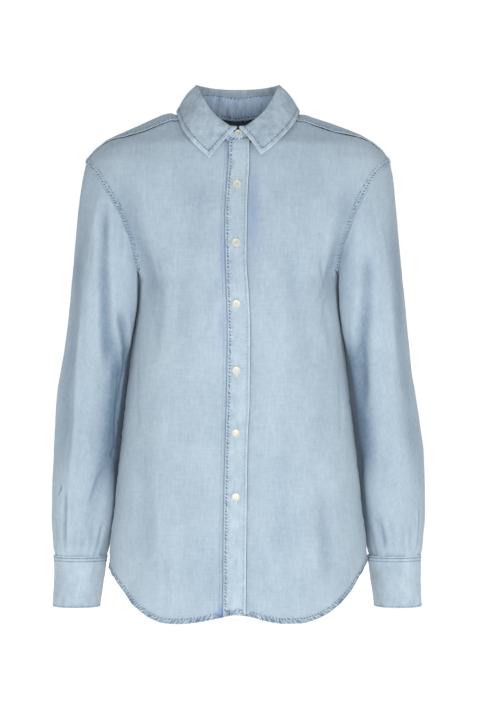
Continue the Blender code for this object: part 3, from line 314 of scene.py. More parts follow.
# Steps between the points of a sheet
ROW_STEP = 2.5
COLUMN_STEP = 3.5
EDGE_STEPS = (0.4, 0.6, 0.9, 1.1, 1.2, 1.3, 1.3, 1.4, 1.6, 1.9, 2.4)

# Seams: how far the upper piece stands up and the lower one dips, and how wide that is
LAP_RISE = 0.8
LAP_WIDTH = 9.2
TUCK_DROP = 1.1
TUCK_WIDTH = 5.0
TUCKED_IN = 3.0  # how far a piece runs on under the next one
TUCKED_UNDER = 0.9  # and how far it goes in there
YOKE_SEAM_ALLOWANCE = 8  # how far the back runs up inside the yoke
YOKE_SEAM_DROP = -0.15  # and it keeps out against the yoke
HEM_RISE = 0.8
HEM_WIDTH = 7.2
EDGE_ROUND = 0.45  # how far a cut edge's corner is rounded down
BAND_END = 2.4  # over how much width a band's rise ends
RIPPLE_LENGTH = 4.2  # of the short ripples along a seam
RIPPLE_AWAY = 4  # how far from the seam's edge they are highest
RIPPLE_WIDTH = 5.5
LONG_RIPPLE_LENGTH = 9.0  # of the long ones
LONG_RIPPLE_REACH = 14
LONG_RIPPLE_SHARE = 0.7  # of the short ones' height
HEM_SLANT = 0.8  # how far the hem's ripples run along it for each mm from its edge

# Thread
STITCH_PITCH = 3.6
STITCH_HALF_LENGTH = 1.35
STITCH_RADIUS = 0.3
STITCH_SEARCH = 14  # how many points in from a sheet's edge its stitch rows lie at most

# Pieces of cloth: node, thickness, finish outside and inside, slot, how the piece is held and what on, the
# cut's width and length in metres, and its area where it isn't a rectangle
SINGLE = ("outside", "inside")
PIECES = {
    "front": ("front_{}", CLOTH, SINGLE, "denim", "hung", "yoke", (0.3, 0.72), 0.16),
    "placket": (
        "front_placket", PLACKET_CLOTH, ("doubled",), "denim_doubled", "hung", "front_right", (0.032, 0.66), None
    ),
    "back": ("back", CLOTH, SINGLE, "denim", "hung", "yoke", (0.56, 0.66), 0.26),
    "yoke": ("yoke", CLOTH, SINGLE, "denim", "draped", "back", (0.46, 0.26), 0.06),
    "sleeve": ("sleeve_{}", CLOTH, SINGLE, "denim", "hung", "yoke", (0.42, 0.56), 0.17),
    "strip": (
        "sleeve_placket_{}", STRIP_CLOTH, ("doubled",), "denim_doubled", "laid", "sleeve_{}", (0.03, 0.115), None
    ),
    "cuff": ("cuff_{}", CUFF_CLOTH, ("doubled",), "denim_doubled", "laid", "sleeve_{}", (0.26, 0.072), None),
    "stand": ("collar_stand", STAND_CLOTH, ("stand",), "denim_doubled", "draped", "yoke", (0.53, 0.034), 0.0145),
    "leaf": (
        "collar_leaf", LEAF_CLOTH, ("collar",), "denim_doubled", "folded", "collar_stand", (0.57, 0.085), 0.033
    ),
}

SIDES = {"right": -1, "left": 1}  # of X

# Working accuracy
TOP_Z = 6
SHOULDERS_BELOW = -110
HALVINGS = 45
RIDGE_STEP = 0.02
LEVEL_STEP = 4
ANGLE_STEPS = 360
LINE_POINTS = 500
NORMAL_STEP = 0.05


# --- Curves through the tables


def curve(rows, column=1):
    """A curve through a column of a table, by its first column, that never overshoots its rows."""
    at, value = np.array(sorted((row[0], row[column]) for row in rows), float).T
    step = np.diff(at)
    slope = np.diff(value) / step
    tangent = np.zeros_like(at)
    same = slope[:-1] * slope[1:] > 0
    tangent[1:-1][same] = 2 / (1 / slope[:-1][same] + 1 / slope[1:][same])
    tangent[0] = slope[0]
    tangent[-1] = slope[-1]

    def read(q):
        q = np.clip(q, at[0], at[-1])
        i = np.clip(np.searchsorted(at, q) - 1, 0, len(step) - 1)
        t = (q - at[i]) / step[i]
        ends = value[i] * (1 + 2 * t) * (1 - t) ** 2 + value[i + 1] * t**2 * (3 - 2 * t)
        return ends + step[i] * t * (1 - t) * (tangent[i] * (1 - t) - tangent[i + 1] * t)

    return read


def ease(t):
    """From 0 to 1 with level ends."""
    t = np.clip(t, 0, 1)
    return t * t * (3 - 2 * t)


def curves(rows, names):
    """The curves through a table's columns, by their names."""
    return {name: curve(rows, column) for column, name in enumerate(names) if column}


half_width, front_depth, back_depth = curves(TORSO, TORSO_COLUMNS).values()
placket_sewn, placket_free = curves(PLACKET, PLACKET_COLUMNS).values()
shoulder_at = curves(SHOULDER, SHOULDER_COLUMNS)
sleeve_at = curves(SLEEVE, SLEEVE_COLUMNS)
cuff_at = curves(CUFF, CUFF_COLUMNS)
stand_at = curves(STAND, STAND_COLUMNS)
leaf_at = curves(LEAF, LEAF_COLUMNS)
fold_round_at = curves(FOLD_ROUND, FOLD_ROUND_COLUMNS)


# --- The surface of the body


def depth_at(z, back):
    return np.where(back, back_depth(z), front_depth(z))


def on_body(x, z, back):
    """The points of the body's surface at places seen from the front or the back."""
    x, z, back = np.broadcast_arrays(np.asarray(x, float), np.asarray(z, float), back)
    room = 1 - np.clip(np.abs(x) / half_width(z), 0, 1) ** ROUNDNESS
    y = np.where(back, 1, -1) * depth_at(z, back) * np.sqrt(np.maximum(room, 0))
    return np.stack([x, y, z], axis=-1)


def fullness(points):
    """1 on the body's surface, less inside and more outside."""
    x, y, z = np.moveaxis(points, -1, 0)
    return (np.abs(x) / half_width(z)) ** ROUNDNESS + (y / depth_at(z, y > 0)) ** 2


def body_normals(points):
    slopes = []
    for axis in np.eye(3) * NORMAL_STEP:
        slopes.append(fullness(points + axis) - fullness(points - axis))
    normal = np.stack(slopes, axis=-1)
    return normal / np.linalg.norm(normal, axis=-1, keepdims=True)


def body_height(x, y):
    """The height of the body's surface over places seen from above the shoulders."""
    x, y = np.broadcast_arrays(np.asarray(x, float), np.asarray(y, float))
    low = np.full(x.shape, float(SHOULDERS_BELOW))
    high = np.full(x.shape, float(TOP_Z))
    for _ in range(HALVINGS):
        middle = (low + high) / 2
        inside = fullness(np.stack([x, y, middle], axis=-1)) < 1
        low = np.where(inside, middle, low)
        high = np.where(inside, high, middle)
    return (low + high) / 2


RIDGE_LEVELS = np.arange(TOP_Z, YOKE_BACK_Z, -RIDGE_STEP)
RIDGE_WIDTHS = half_width(RIDGE_LEVELS)


def ridge_height(x):
    """The height of the shoulder line at a distance from the centre."""
    return np.interp(np.abs(x), RIDGE_WIDTHS, RIDGE_LEVELS)


# --- The body laid out flat: distance round it from the front centre, and height

LEVELS = np.arange(TORSO[-1][0], TOP_Z + LEVEL_STEP, LEVEL_STEP, float)
ANGLES = np.linspace(0, math.pi, ANGLE_STEPS + 1)


def section(z, angle):
    """A point of a level section, from the front centre at 0 to the back centre at pi."""
    x = half_width(z) * np.sin(angle) ** (2 / ROUNDNESS)
    return x, -depth_at(z, angle > math.pi / 2) * np.cos(angle)


def lengths_round():
    """The distance round the body at each level and angle."""
    x, y = section(LEVELS[:, None], ANGLES[None])
    step = np.hypot(np.diff(x), np.diff(y))
    return np.concatenate([np.zeros((len(LEVELS), 1)), np.cumsum(step, axis=1)], axis=1)


ROUND = lengths_round()


def level_share(z):
    place = np.clip((np.asarray(z, float) - LEVELS[0]) / LEVEL_STEP, 0, len(LEVELS) - 1.001)
    level = place.astype(int)
    return level, place - level


def girth_half(z):
    """The distance from the front centre to the back centre."""
    level, more = level_share(z)
    return ROUND[level, -1] * (1 - more) + ROUND[level + 1, -1] * more


def unwrap(points, back=False):
    """Lays points at +X out flat as (distance from the front or back centre, height)."""
    x, y, z = np.moveaxis(points, -1, 0)
    share = np.clip(np.abs(x) / half_width(z), 0, 1)
    angle = np.arcsin(share ** (ROUNDNESS / 2))
    angle = np.where(y > 0, math.pi - angle, angle)
    level, more = level_share(z)
    place = np.clip(angle / ANGLES[1], 0, len(ANGLES) - 1.001)
    k = place.astype(int)
    f = place - k
    low = ROUND[level, k] * (1 - f) + ROUND[level, k + 1] * f
    high = ROUND[level + 1, k] * (1 - f) + ROUND[level + 1, k + 1] * f
    distance = low * (1 - more) + high * more
    return np.stack([girth_half(z) - distance if back else distance, z], axis=-1)


def wrap(flat, back=False):
    """Wraps laid-out points on the body."""
    away, z = np.moveaxis(flat, -1, 0)
    if back:
        away = girth_half(z) - away
    level, more = level_share(z)
    low = np.zeros(level.shape, int)
    high = np.full(level.shape, len(ANGLES) - 1)

    def reach(k):
        return ROUND[level, k] * (1 - more) + ROUND[level + 1, k] * more

    for _ in range(8):
        middle = (low + high) // 2
        below = reach(middle) <= away
        low = np.where(below, middle, low)
        high = np.where(below, high, middle)
    f = np.clip((away - reach(low)) / np.maximum(reach(high) - reach(low), 1e-9), 0, 1)
    x, y = section(z, (low + f * (high - low)) * ANGLES[1])
    return np.stack([x, y, z], axis=-1)

# --- Seams and edges, dense lines of points on the body, for the half at +X


def length_of(line):
    return float(np.linalg.norm(np.diff(line, axis=0), axis=1).sum())


def shares_of(line):
    length = np.r_[0, np.cumsum(np.linalg.norm(np.diff(line, axis=0), axis=1))]
    return length / length[-1]


def resampled(line, shares):
    """Points at given shares of a line's length."""
    return np.stack([np.interp(shares, shares_of(line), axis) for axis in line.T], axis=-1)


def armhole_line(column):
    """From the armpit to the shoulder point."""
    ends = [(z, float(half_width(z))) for z in (SHOULDER_Z, ARMPIT_Z)]
    rows = [(row[0], row[ARMHOLE_COLUMNS.index(column)]) for row in ARMHOLE] + ends
    across = curve(rows)
    turn = np.linspace(0, math.pi, LINE_POINTS)
    z = ARMPIT_Z + (SHOULDER_Z - ARMPIT_Z) * (1 - np.cos(turn)) / 2
    return on_body(np.minimum(across(z), half_width(z)), z, column == "back_x")


def back_armhole():
    """The armhole's back in two parts, below the yoke and along it."""
    line = armhole_line("back_x")
    meet = np.array([[np.interp(YOKE_BACK_Z, line[:, 2], axis) for axis in line.T]])
    below = line[:, 2] < YOKE_BACK_Z
    return np.concatenate([line[below], meet]), np.concatenate([meet, line[~below]])


def neck_points(angles):
    """Points of the neck seam, by angle from the front centre in degrees."""
    turn = np.radians(angles)
    x = NECK_HALF_WIDTH * np.sin(turn)
    y = -np.where(np.cos(turn) > 0, NECK_FRONT, NECK_BACK) * np.cos(turn)
    return np.stack([x, y, body_height(x, y)], axis=-1)


def neck_angle(x):
    return math.degrees(math.asin(x / NECK_HALF_WIDTH))


def yoke_front_seam():
    """From the neck to the shoulder point."""
    start = neck_points([NECK_SEAM_ANGLE])[0]
    rows = [(start[0], start[2]), *YOKE_FRONT, (float(half_width(SHOULDER_Z)), SHOULDER_Z)]
    drop = curve(rows)
    x = start[0] + (rows[-1][0] - start[0]) * np.sin(np.linspace(0, math.pi / 2, LINE_POINTS))
    line = on_body(x, np.minimum(drop(x), ridge_height(x)), False)
    line[0] = start
    line[-1] = (rows[-1][0], 0, SHOULDER_Z)
    return line


def yoke_back_seam():
    """From the back centre to the armhole."""
    end = back_armhole()[0][-1]
    line = on_body(np.linspace(0, end[0], LINE_POINTS), YOKE_BACK_Z, True)
    line[-1] = end
    return line


def side_seam(side):
    """From the hem to the armpit."""
    z = np.linspace(SIDE_HEM_Z[side], ARMPIT_Z, LINE_POINTS)
    return np.stack([half_width(z), 0 * z, z], axis=-1)


def hem_line(x, column, side):
    rows = [(row[0], row[HEM_COLUMNS.index(column)]) for row in HEM[:-1]]
    rows.append((float(half_width(SIDE_HEM_Z[side])), SIDE_HEM_Z[side]))
    drop = curve(rows)
    return on_body(np.minimum(x, rows[-1][0]), drop(x), column == "back_z")


def hem_edge(first_x, column, side):
    return hem_line(np.linspace(first_x, float(half_width(SIDE_HEM_Z[side])), LINE_POINTS), column, side)


def spaced(length, step, first=(), last=()):
    """Shares of a length, with given steps from its start and to its end and even ones between."""
    middle = length - sum(first) - sum(last)
    count = max(1, round(middle / step))
    steps = np.r_[first, np.full(count, middle / count), last[::-1]]
    return np.r_[0, np.cumsum(steps)] / np.sum(steps)


def edge_of(*parts):
    """Points along lines that meet end to end, each given with its steps."""
    runs = [resampled(line, spaced(length_of(line), step, first, last)) for line, step, first, last in parts]
    return np.concatenate([runs[0], *(run[1:] for run in runs[1:])])


def fill(left, right, bottom, top, across, up):
    """Points inside four edge lines, with the shares of their columns and rows."""
    s = np.array(across)[None, :, None]
    t = np.array(up)[:, None, None]
    between = (1 - s) * left[:, None] + s * right[:, None] + (1 - t) * bottom[None] + t * top[None]
    corners = (1 - s) * ((1 - t) * left[0] + t * left[-1]) + s * ((1 - t) * right[0] + t * right[-1])
    return between - corners


def filled(left, right, bottom, top, across, up, lay_out, put_back):
    """Points between four edge lines of the body, filled in where it's laid out flat."""
    edges = (left, right, bottom, top)
    points = put_back(fill(*(lay_out(edge) for edge in edges), across, up))
    points[:, 0], points[:, -1] = left, right
    points[0], points[-1] = bottom, top
    return points


def on_side(points, side):
    return points * np.array([SIDES[side], 1, 1])


# --- Folds, wrinkles and what the seams do to the cloth beside them


def grain(points, size, seed):
    """Soft random values from -1 to 1, in lumps of a size."""
    lattice = np.random.default_rng(seed).uniform(-1, 1, (32, 32, 32))
    place = points / size
    cell = np.floor(place).astype(int)
    part = place - cell
    part = part * part * (3 - 2 * part)
    total = np.zeros(points.shape[:-1])
    for corner in np.ndindex(2, 2, 2):
        weight = np.prod(np.where(corner, part, 1 - part), axis=-1)
        i, j, k = np.moveaxis((cell + corner) % 32, -1, 0)
        total += weight * lattice[i, j, k]
    return total


def ripple(along, size, seed):
    """Soft random values along a line."""
    return grain(np.stack([along, 0 * along + seed, 0 * along], axis=-1), (size, 1, 1), seed)


def beside(points, line):
    """How far points are from a line, and how far along it they are."""
    flat = points.reshape(-1, 3)
    away = np.full(len(flat), FAR)
    along = np.zeros(len(flat))
    length = shares_of(line) * length_of(line)
    rough = line[:: max(1, len(line) // 30)]
    reach = FAR + 2 * length[-1] / len(rough)
    gaps = np.sqrt(((flat[:, None] - rough[None]) ** 2).sum(axis=2).min(axis=1))
    near = np.nonzero(gaps < reach)[0]
    for part in np.array_split(near, len(near) // 4000 + 1):
        gap = flat[part][:, None] - line[None]
        best = np.einsum("ijk,ijk->ij", gap, gap).argmin(axis=1)
        low = np.maximum(best - 1, 0)
        high = np.minimum(best + 1, len(line) - 1)
        run = line[high] - line[low]
        share = np.clip(np.sum((flat[part] - line[low]) * run, axis=1) / np.sum(run * run, axis=1), 0, 1)
        away[part] = np.linalg.norm(flat[part] - line[low] - share[:, None] * run, axis=1)
        along[part] = length[low] + share * (length[high] - length[low])
    return np.minimum(away, FAR).reshape(points.shape[:-1]), along.reshape(points.shape[:-1])


# What the finish reads at each point: how far along the nearest seam it is, how far from edges, stitch rows
# and tucked seams, how that seam's thread pulls and how much painted shade its stitch groove gets, whether it is
# roped, and how deep the folds are, which it paints as shade
READ_MARKS = ("along", "edge", "row_1", "row_2", "tuck", "pull", "line", "rope", "fold")


def plain_marks(shape):
    marks = {name: np.full(shape, FAR) for name in ("nearest", "edge", "row_1", "row_2", "tuck")}
    return {**{name: np.zeros(shape) for name in READ_MARKS}, **marks}


def bell(away, width):
    return np.exp(-((away / width) ** 2))


# What each kind of seam or edge does to the cloth and to its finish: the rise of its band and its
# width, stitch rows, ripples, how hard the thread pulls and how much painted shade its stitch groove gets, and the
# edge:
# cut and pale, tucked under with a painted shadow line beside it, soft, or a pale ridge
SEAM_COLUMNS = ("rise", "width", "rows", "ripples", "pull", "line", "edge")
SEAMS = {
    "armhole": (LAP_RISE, LAP_WIDTH, (2.2, 7.8), 0.6, 1.0, 0.2, "cut"),
    "yoke": (LAP_RISE, LAP_WIDTH, (2.0, 7.4), 0.45, 0.7, 0.5, "cut"),
    "side": (LAP_RISE, LAP_WIDTH, (1.8, 7.4), 0.5, 0.6, 0.3, "cut"),
    "tuck": (-TUCK_DROP, TUCK_WIDTH, (), 0.6, 0.0, 0.0, "tucked"),
    "gathers": (-0.6, 6.0, (), 0.9, 0.0, 0.0, "soft"),
    "hem": (HEM_RISE, HEM_WIDTH, (6.2,), 0.8, 0.5, 0.2, "cut"),
    "welt": (0.6, 3.6, (4.6,), 0.2, 0.0, 0.45, "ridge"),
    "under_placket": (-0.5, 3.0, (), 0.2, 0.0, 0.0, "tucked"),
    "placket_seam": (0.2, 4.2, (3.2,), 0.6, 0.8, 0.4, "tucked"),
    "placket_edge": (0.3, 4.2, (3.4,), 0.25, 0.15, 0.35, "cut"),
    "leaf": (0.3, 7.5, (6.0,), 0.7, 0.45, 1.1, "cut"),
    "cuff": (0.35, 9.0, (2.4, 7.0), 0.35, 0.15, 1.3, "cut"),
    "cuff_foot": (0.25, 3.5, (2.0,), 0.3, 0.2, 0.9, "cut"),
    "stand": (0.2, 3.0, (1.8,), 0.4, 0.9, 0.8, "cut"),
    "strip": (0.3, 3.0, (1.8,), 0.2, 0.3, 0.8, "cut"),
}
WELT_RIDGE = 1.5


def beside_seam(points, line, kind, seed, marks):
    """The height that a seam gives the cloth beside it. It marks the cloth for the finish too."""
    seam = dict(zip(SEAM_COLUMNS, SEAMS[kind]))
    away, along = beside(points, line)
    if seam["edge"] == "cut":
        height = seam["rise"] * (1 - ease((away - seam["width"]) / BAND_END + 0.5)) - EDGE_ROUND * bell(away, 0.5)
        marks["edge"] = np.minimum(marks["edge"], away)
    elif seam["edge"] == "ridge":
        height = seam["rise"] * bell(away - WELT_RIDGE, 1.1)
        marks["edge"] = np.minimum(marks["edge"], np.abs(away - WELT_RIDGE) + 0.3)
    else:
        height = seam["rise"] * (1 - ease(away / seam["width"]))
        if seam["edge"] == "tucked":
            # the finish paints a shadow line along seams where the cloth goes under another piece
            marks["tuck"] = np.minimum(marks["tuck"], away)
    rope = float(kind == "hem")
    short = ripple(along + HEM_SLANT * rope * away, RIPPLE_LENGTH, seed) * bell(away - RIPPLE_AWAY, RIPPLE_WIDTH)
    long = ripple(along, LONG_RIPPLE_LENGTH, seed + 1) * np.exp(-away / LONG_RIPPLE_REACH)
    height += seam["ripples"] * (short + LONG_RIPPLE_SHARE * long)
    closer = away < marks["nearest"]
    marks["nearest"] = np.minimum(marks["nearest"], away)
    apart = 1000 * (seed % 7)  # so that no two seams' puckers agree
    for name, mark in (("along", along + apart), ("pull", seam["pull"]), ("line", seam["line"]), ("rope", rope)):
        marks[name] = np.where(closer, mark, marks[name])
    for name, place in zip(("row_1", "row_2"), seam["rows"]):
        marks[name] = np.minimum(marks[name], away - place)
    return height


def pressed(points, folds):
    """How deep the folds press each point in. The sides of narrow ones stand up a little as lips."""
    total = np.zeros(points.shape[:-1])
    for start, end, depth, reach in folds:
        along = end - start
        share = np.clip((points - start) @ along / (along @ along), 0, 1)
        away = np.linalg.norm(points - (start + share[..., None] * along), axis=-1) / reach
        taper = ease(FOLD_TAPER * share) * ease(FOLD_TAPER * (1 - share))
        lip = FOLD_LIP * (1 - ease((reach - LIPPED) / LIPPED))
        total += depth * taper * (1 - lip * away**2) * (1 - np.clip(away, 0, 1) ** 2) ** 2
    return total


def shoulder_lift(points):
    """How far the cloth near the shoulder line lies above the body's even form."""
    x, _, z = np.moveaxis(points, -1, 0)
    near = np.exp(-(((ridge_height(x) - z) / SHOULDER_REACH) ** 2))
    lift = np.where(x < 0, shoulder_at["right"](np.abs(x)), shoulder_at["left"](np.abs(x)))
    return lift * near


def eased_chest(points):
    """How far the cloth cuts the corner where the chest turns to the shoulders."""
    x, y, z = np.moveaxis(points, -1, 0)
    return CHEST_CUT * bell(z - CHEST_TURN_Z, 22) * ease((np.abs(x) - 46) / 34) * ease(-(y + 14) / 30)


def lumps(points, kind):
    """The cloth's slight unevenness."""
    return sum(height * grain(points, size, seed) for height, size, seed in LUMPS[kind])


def body_folds(rows, back):
    folds = []
    for row in rows:
        fold = dict(zip(BODY_FOLD_COLUMNS, row))
        start = on_body(fold["x1"], fold["z1"], back)
        end = on_body(fold["x2"], fold["z2"], back)
        folds.append((start, end, fold["depth"], fold["half_width"]))
    return folds


BODY_FOLDS = body_folds(FRONT_FOLDS, False) + body_folds(BACK_FOLDS, True)


def creased(points, lift=0.0):
    """The cloth over places of the body, the body's normals, and how deep its folds are."""
    normals = body_normals(points)
    depth = pressed(points, BODY_FOLDS) - lumps(points, "body")
    sheet = points + normals * (lift - depth - eased_chest(points))[..., None]
    sheet[..., 2] += shoulder_lift(points)
    return sheet, normals, depth


def sewn(points, seams, lift=0.0):
    """The cloth over places of the body with its folds and seams, and its marks."""
    marks = plain_marks(points.shape[:2])
    height = lift
    for line, kind, seed in seams:
        height = height + beside_seam(points, line, kind, seed, marks)
    # the folds' depth goes to the finish, which paints shade into the valleys
    sheet, normals, marks["fold"] = creased(points, height)
    return sheet, normals, marks


def grown(sheet, normals, marks, before=(), after=()):
    """Adds rows of points before and after a sheet's own, with the normals and marks of its end rows."""

    def repeated_ends(values):
        return np.concatenate([*[values[:1]] * len(before), values, *[values[-1:]] * len(after)])

    sheet = np.concatenate([*(row[None] for row in before), sheet, *(row[None] for row in after)])
    return sheet, repeated_ends(normals), {name: repeated_ends(mark) for name, mark in marks.items()}


def swapped(sheet, normals, marks, axis):
    """A sheet with another axis first. Done twice, it is as before."""
    marks = {name: np.swapaxes(mark, 0, axis) for name, mark in marks.items()}
    return np.swapaxes(sheet, 0, axis), np.swapaxes(normals, 0, axis), marks


def tucked(sheet, normals, marks, *edges, reach=TUCKED_IN, drop=TUCKED_UNDER):
    """Adds rows or columns that run on under the next piece. An edge is an axis and an end."""
    for axis, end in edges:
        sheet, normals, marks = swapped(sheet, normals, marks, axis)
        out = sheet[end] - sheet[1 if end == 0 else -2]
        out /= np.linalg.norm(out, axis=-1, keepdims=True)
        more = {"before" if end == 0 else "after": [sheet[end] + out * reach - normals[end] * drop]}
        sheet, normals, marks = swapped(*grown(sheet, normals, marks, **more), axis)
    return sheet, normals, marks


def sheet_normals(points, closed=False):
    """Normals of a sheet from its neighbouring points."""
    if closed:
        across = np.roll(points, -1, axis=1) - np.roll(points, 1, axis=1)
    else:
        across = np.gradient(points, axis=1)
    normal = np.cross(np.gradient(points, axis=0), across)
    return normal / np.maximum(np.linalg.norm(normal, axis=-1, keepdims=True), 1e-9)


def facing_out(normals, points, centre):
    return normals * np.sign(np.sum(normals * (points - centre)))


# --- Making the pieces


def alone(piece):
    """Selects a piece alone."""
    bpy.ops.object.select_all(action="DESELECT")
    piece.select_set(True)
    bpy.context.view_layer.objects.active = piece


def run_lengths(points, axis):
    """Lengths along a sheet's rows or columns, from the middle one."""
    step = np.linalg.norm(np.diff(points, axis=axis), axis=-1)
    start = np.zeros_like(np.take(step, [0], axis=axis))
    run = np.concatenate([start, np.cumsum(step, axis=axis)], axis=axis)
    return run - np.take(run, [points.shape[axis] // 2], axis=axis)


def cloth(kind, sheet, outward, marks, side="", closed=False, laid_out=None):
    """A wall of cloth over a grid of points, in a node's place, with the cloth laid out flat as its UV map."""
    node, thickness, finish, slot, held, rests_on, flat_size, area = PIECES[kind]
    node = node.format(side)
    along, across = np.gradient(sheet, axis=0), np.gradient(sheet, axis=1)
    if np.sum(np.cross(across, along) * outward) < 0:
        sheet = sheet[:, ::-1]
        marks = {key: mark[:, ::-1] for key, mark in marks.items()}
    if closed:
        sheet = np.concatenate([sheet, sheet[:, :1]], axis=1)
        marks = {key: np.concatenate([mark, mark[:, :1]], axis=1) for key, mark in marks.items()}
    rows, columns = sheet.shape[:2]
    bpy.ops.mesh.primitive_grid_add(x_subdivisions=columns - 1, y_subdivisions=rows - 1, size=1)
    piece = bpy.context.object
    piece.name = piece.data.name = node + "_cloth"
    mesh = piece.data
    mesh.vertices.foreach_set("co", (sheet * MM).ravel())
    corners = np.empty(len(mesh.loops), int)
    mesh.loops.foreach_get("vertex_index", corners)
    flat = laid_out(sheet) if laid_out else np.stack([run_lengths(sheet, 1), run_lengths(sheet, 0)], axis=-1)
    flat = flat.reshape(-1, 2) * MM
    mesh.uv_layers[0].data.foreach_set("uv", flat[corners].ravel())
    for key in READ_MARKS:
        attribute = mesh.attributes.new(key, "FLOAT", "POINT")
        attribute.data.foreach_set("value", marks[key].ravel())
    mesh.update()
    if closed:
        bpy.ops.object.mode_set(mode="EDIT")
        bpy.ops.mesh.select_all(action="SELECT")
        bpy.ops.mesh.remove_doubles(threshold=0.00001)
        bpy.ops.object.mode_set(mode="OBJECT")
    for name in finish:
        mesh.materials.append(finishes[name])
    wall = piece.modifiers.new("wall", "SOLIDIFY")
    wall.thickness = thickness * MM
    wall.offset = -1
    wall.material_offset = len(finish) - 1
    bpy.ops.object.modifier_apply(modifier=wall.name)
    bpy.ops.object.shade_smooth_by_angle(angle=math.radians(55))
    piece.select_set(False)
    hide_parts(node)
    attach(piece, "root")


# --- Thread


def stitch_lines(sheet, marks, row, axis, end):
    """Where a stitch row runs over a sheet, looked for from one of the sheet's edges inwards."""
    points = np.moveaxis(sheet, axis, 1)
    place = np.moveaxis(marks[row], axis, 1)
    if end:
        points, place = points[:, ::-1], place[:, ::-1]
    points, place = points[:, :STITCH_SEARCH], place[:, :STITCH_SEARCH]
    crossed = (place[:, :-1] < 0) & (place[:, 1:] >= 0) & (place[:, 1:] < FAR / 2)
    at = crossed.argmax(axis=1)
    row_number = np.arange(len(place))
    low, high = place[row_number, at], place[row_number, at + 1]
    share = np.where(high > low, low / np.minimum(low - high, -1e-9), 0)[:, None]
    line = points[row_number, at] * (1 - share) + points[row_number, at + 1] * share
    lines = []
    found = crossed.any(axis=1)
    for part in np.split(row_number, np.nonzero(np.diff(found.astype(int)))[0] + 1):
        if found[part[0]] and length_of(line[part]) > 4 * STITCH_PITCH:
            lines.append(line[part])
    return lines


def stitch(reach, grow, place, segments=5, rings=4):
    """One stitch of thread: a ball of a radius, drawn thin and moved to its place."""
    bpy.ops.mesh.primitive_uv_sphere_add(segments=segments, ring_count=rings, radius=reach * MM)
    made = bpy.context.object
    bpy.ops.object.mode_set(mode="EDIT")
    bpy.ops.transform.resize(value=grow, center_override=(0, 0, 0))
    bpy.ops.transform.translate(value=[value * MM for value in place])
    bpy.ops.object.mode_set(mode="OBJECT")
    return made


def repeat(piece, step, count):
    """Repeats a piece a number of times, each a step further on."""
    again = piece.modifiers.new("repeat", "ARRAY")
    again.use_relative_offset = False
    again.use_constant_offset = True
    again.constant_offset_displace = [value * MM for value in step]
    again.count = count
    bpy.ops.object.modifier_apply(modifier=again.name)


def stitched(name, line):
    """Stitches along a line: one stitch, repeated and bent along it."""
    path = bpy.data.curves.new(name + "_path", "CURVE")
    path.dimensions = "3D"
    spline = path.splines.new("POLY")
    spline.points.add(len(line) - 1)
    spline.points.foreach_set("co", np.concatenate([line * MM, np.ones((len(line), 1))], axis=1).ravel())
    guide = bpy.data.objects.new(name + "_path", path)
    bpy.context.collection.objects.link(guide)
    thin = STITCH_RADIUS / STITCH_HALF_LENGTH
    row = stitch(STITCH_HALF_LENGTH, (1, thin, thin), (STITCH_PITCH / 2, 0, 0))
    repeat(row, (STITCH_PITCH, 0, 0), int(length_of(line) / STITCH_PITCH))
    bend = row.modifiers.new("bend", "CURVE")
    bend.object = guide
    bpy.ops.object.modifier_apply(modifier=bend.name)
    bpy.data.objects.remove(guide)
    bpy.data.curves.remove(path)
    return row


def joined(name, parts, material):
    """Joins parts into one piece."""
    alone(parts[0])
    for part in parts[1:]:
        part.select_set(True)
    bpy.ops.object.join()
    piece = bpy.context.object
    piece.name = piece.data.name = name
    piece.data.materials.clear()
    piece.data.materials.append(material)
    bpy.ops.object.shade_smooth()
    piece.select_set(False)
    return piece


def thread_rows(name, sheet, marks, *edges):
    """The stitches of a piece of cloth, in the rows beside some of its edges."""
    rows = []
    for axis, end in edges:
        for row in ("row_1", "row_2"):
            for line in stitch_lines(sheet, marks, row, axis, end):
                rows.append(stitched(name, line))
    if rows:
        piece = joined(name + "_stitches", rows, finishes["thread"])
        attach(piece, "root")


# --- Fronts, placket, back and yoke


def front_edges(side):
    """The line where a front's plain cloth begins and its free edge, as x at a height."""
    if side == "right":
        return lambda z: -placket_sewn(z), lambda z: -placket_free(z)
    return lambda z: placket_free(z) + LEFT_STEP, lambda z: placket_sewn(z) + LEFT_EDGE_COVER


def front_frame(side):
    """The upper and the outer edge of a front's plain cloth."""
    line = front_edges(side)[0]
    neck = neck_points(np.linspace(neck_angle(float(line(PLACKET_TOP_Z))), NECK_SEAM_ANGLE, LINE_POINTS))
    top = edge_of((neck, COLUMN_STEP, (), ()), (yoke_front_seam(), COLUMN_STEP, (), EDGE_STEPS))
    arm = armhole_line(side + "_front_x")
    right = edge_of((side_seam(side), ROW_STEP, EDGE_STEPS, ()), (arm, ROW_STEP, (), EDGE_STEPS))
    return top, right


def hem_height(x, side):
    """The height of a front's hem at a distance from the centre."""
    return float(hem_line(float(x), side + "_front_z", side)[2])


def neck_height(x):
    return float(neck_points([neck_angle(float(x))])[0, 2])


def front_strip(side, shares, up):
    """Columns beside a front's plain cloth, from its line at share 0 to its free edge at 1."""
    line, edge = front_edges(side)
    hem_z, neck_z = hem_height(line(HEM[1][1]), side), neck_height(line(PLACKET_TOP_Z))

    def across(z, share):
        return (1 - share) * line(z) + share * edge(z)

    strips = []
    for share in shares:
        low, high = hem_height(across(hem_z, share), side), neck_height(across(neck_z, share))
        z = low + (high - low) * up
        strips.append(on_body(across(z, share), z, False))
    return np.stack(strips, axis=1)


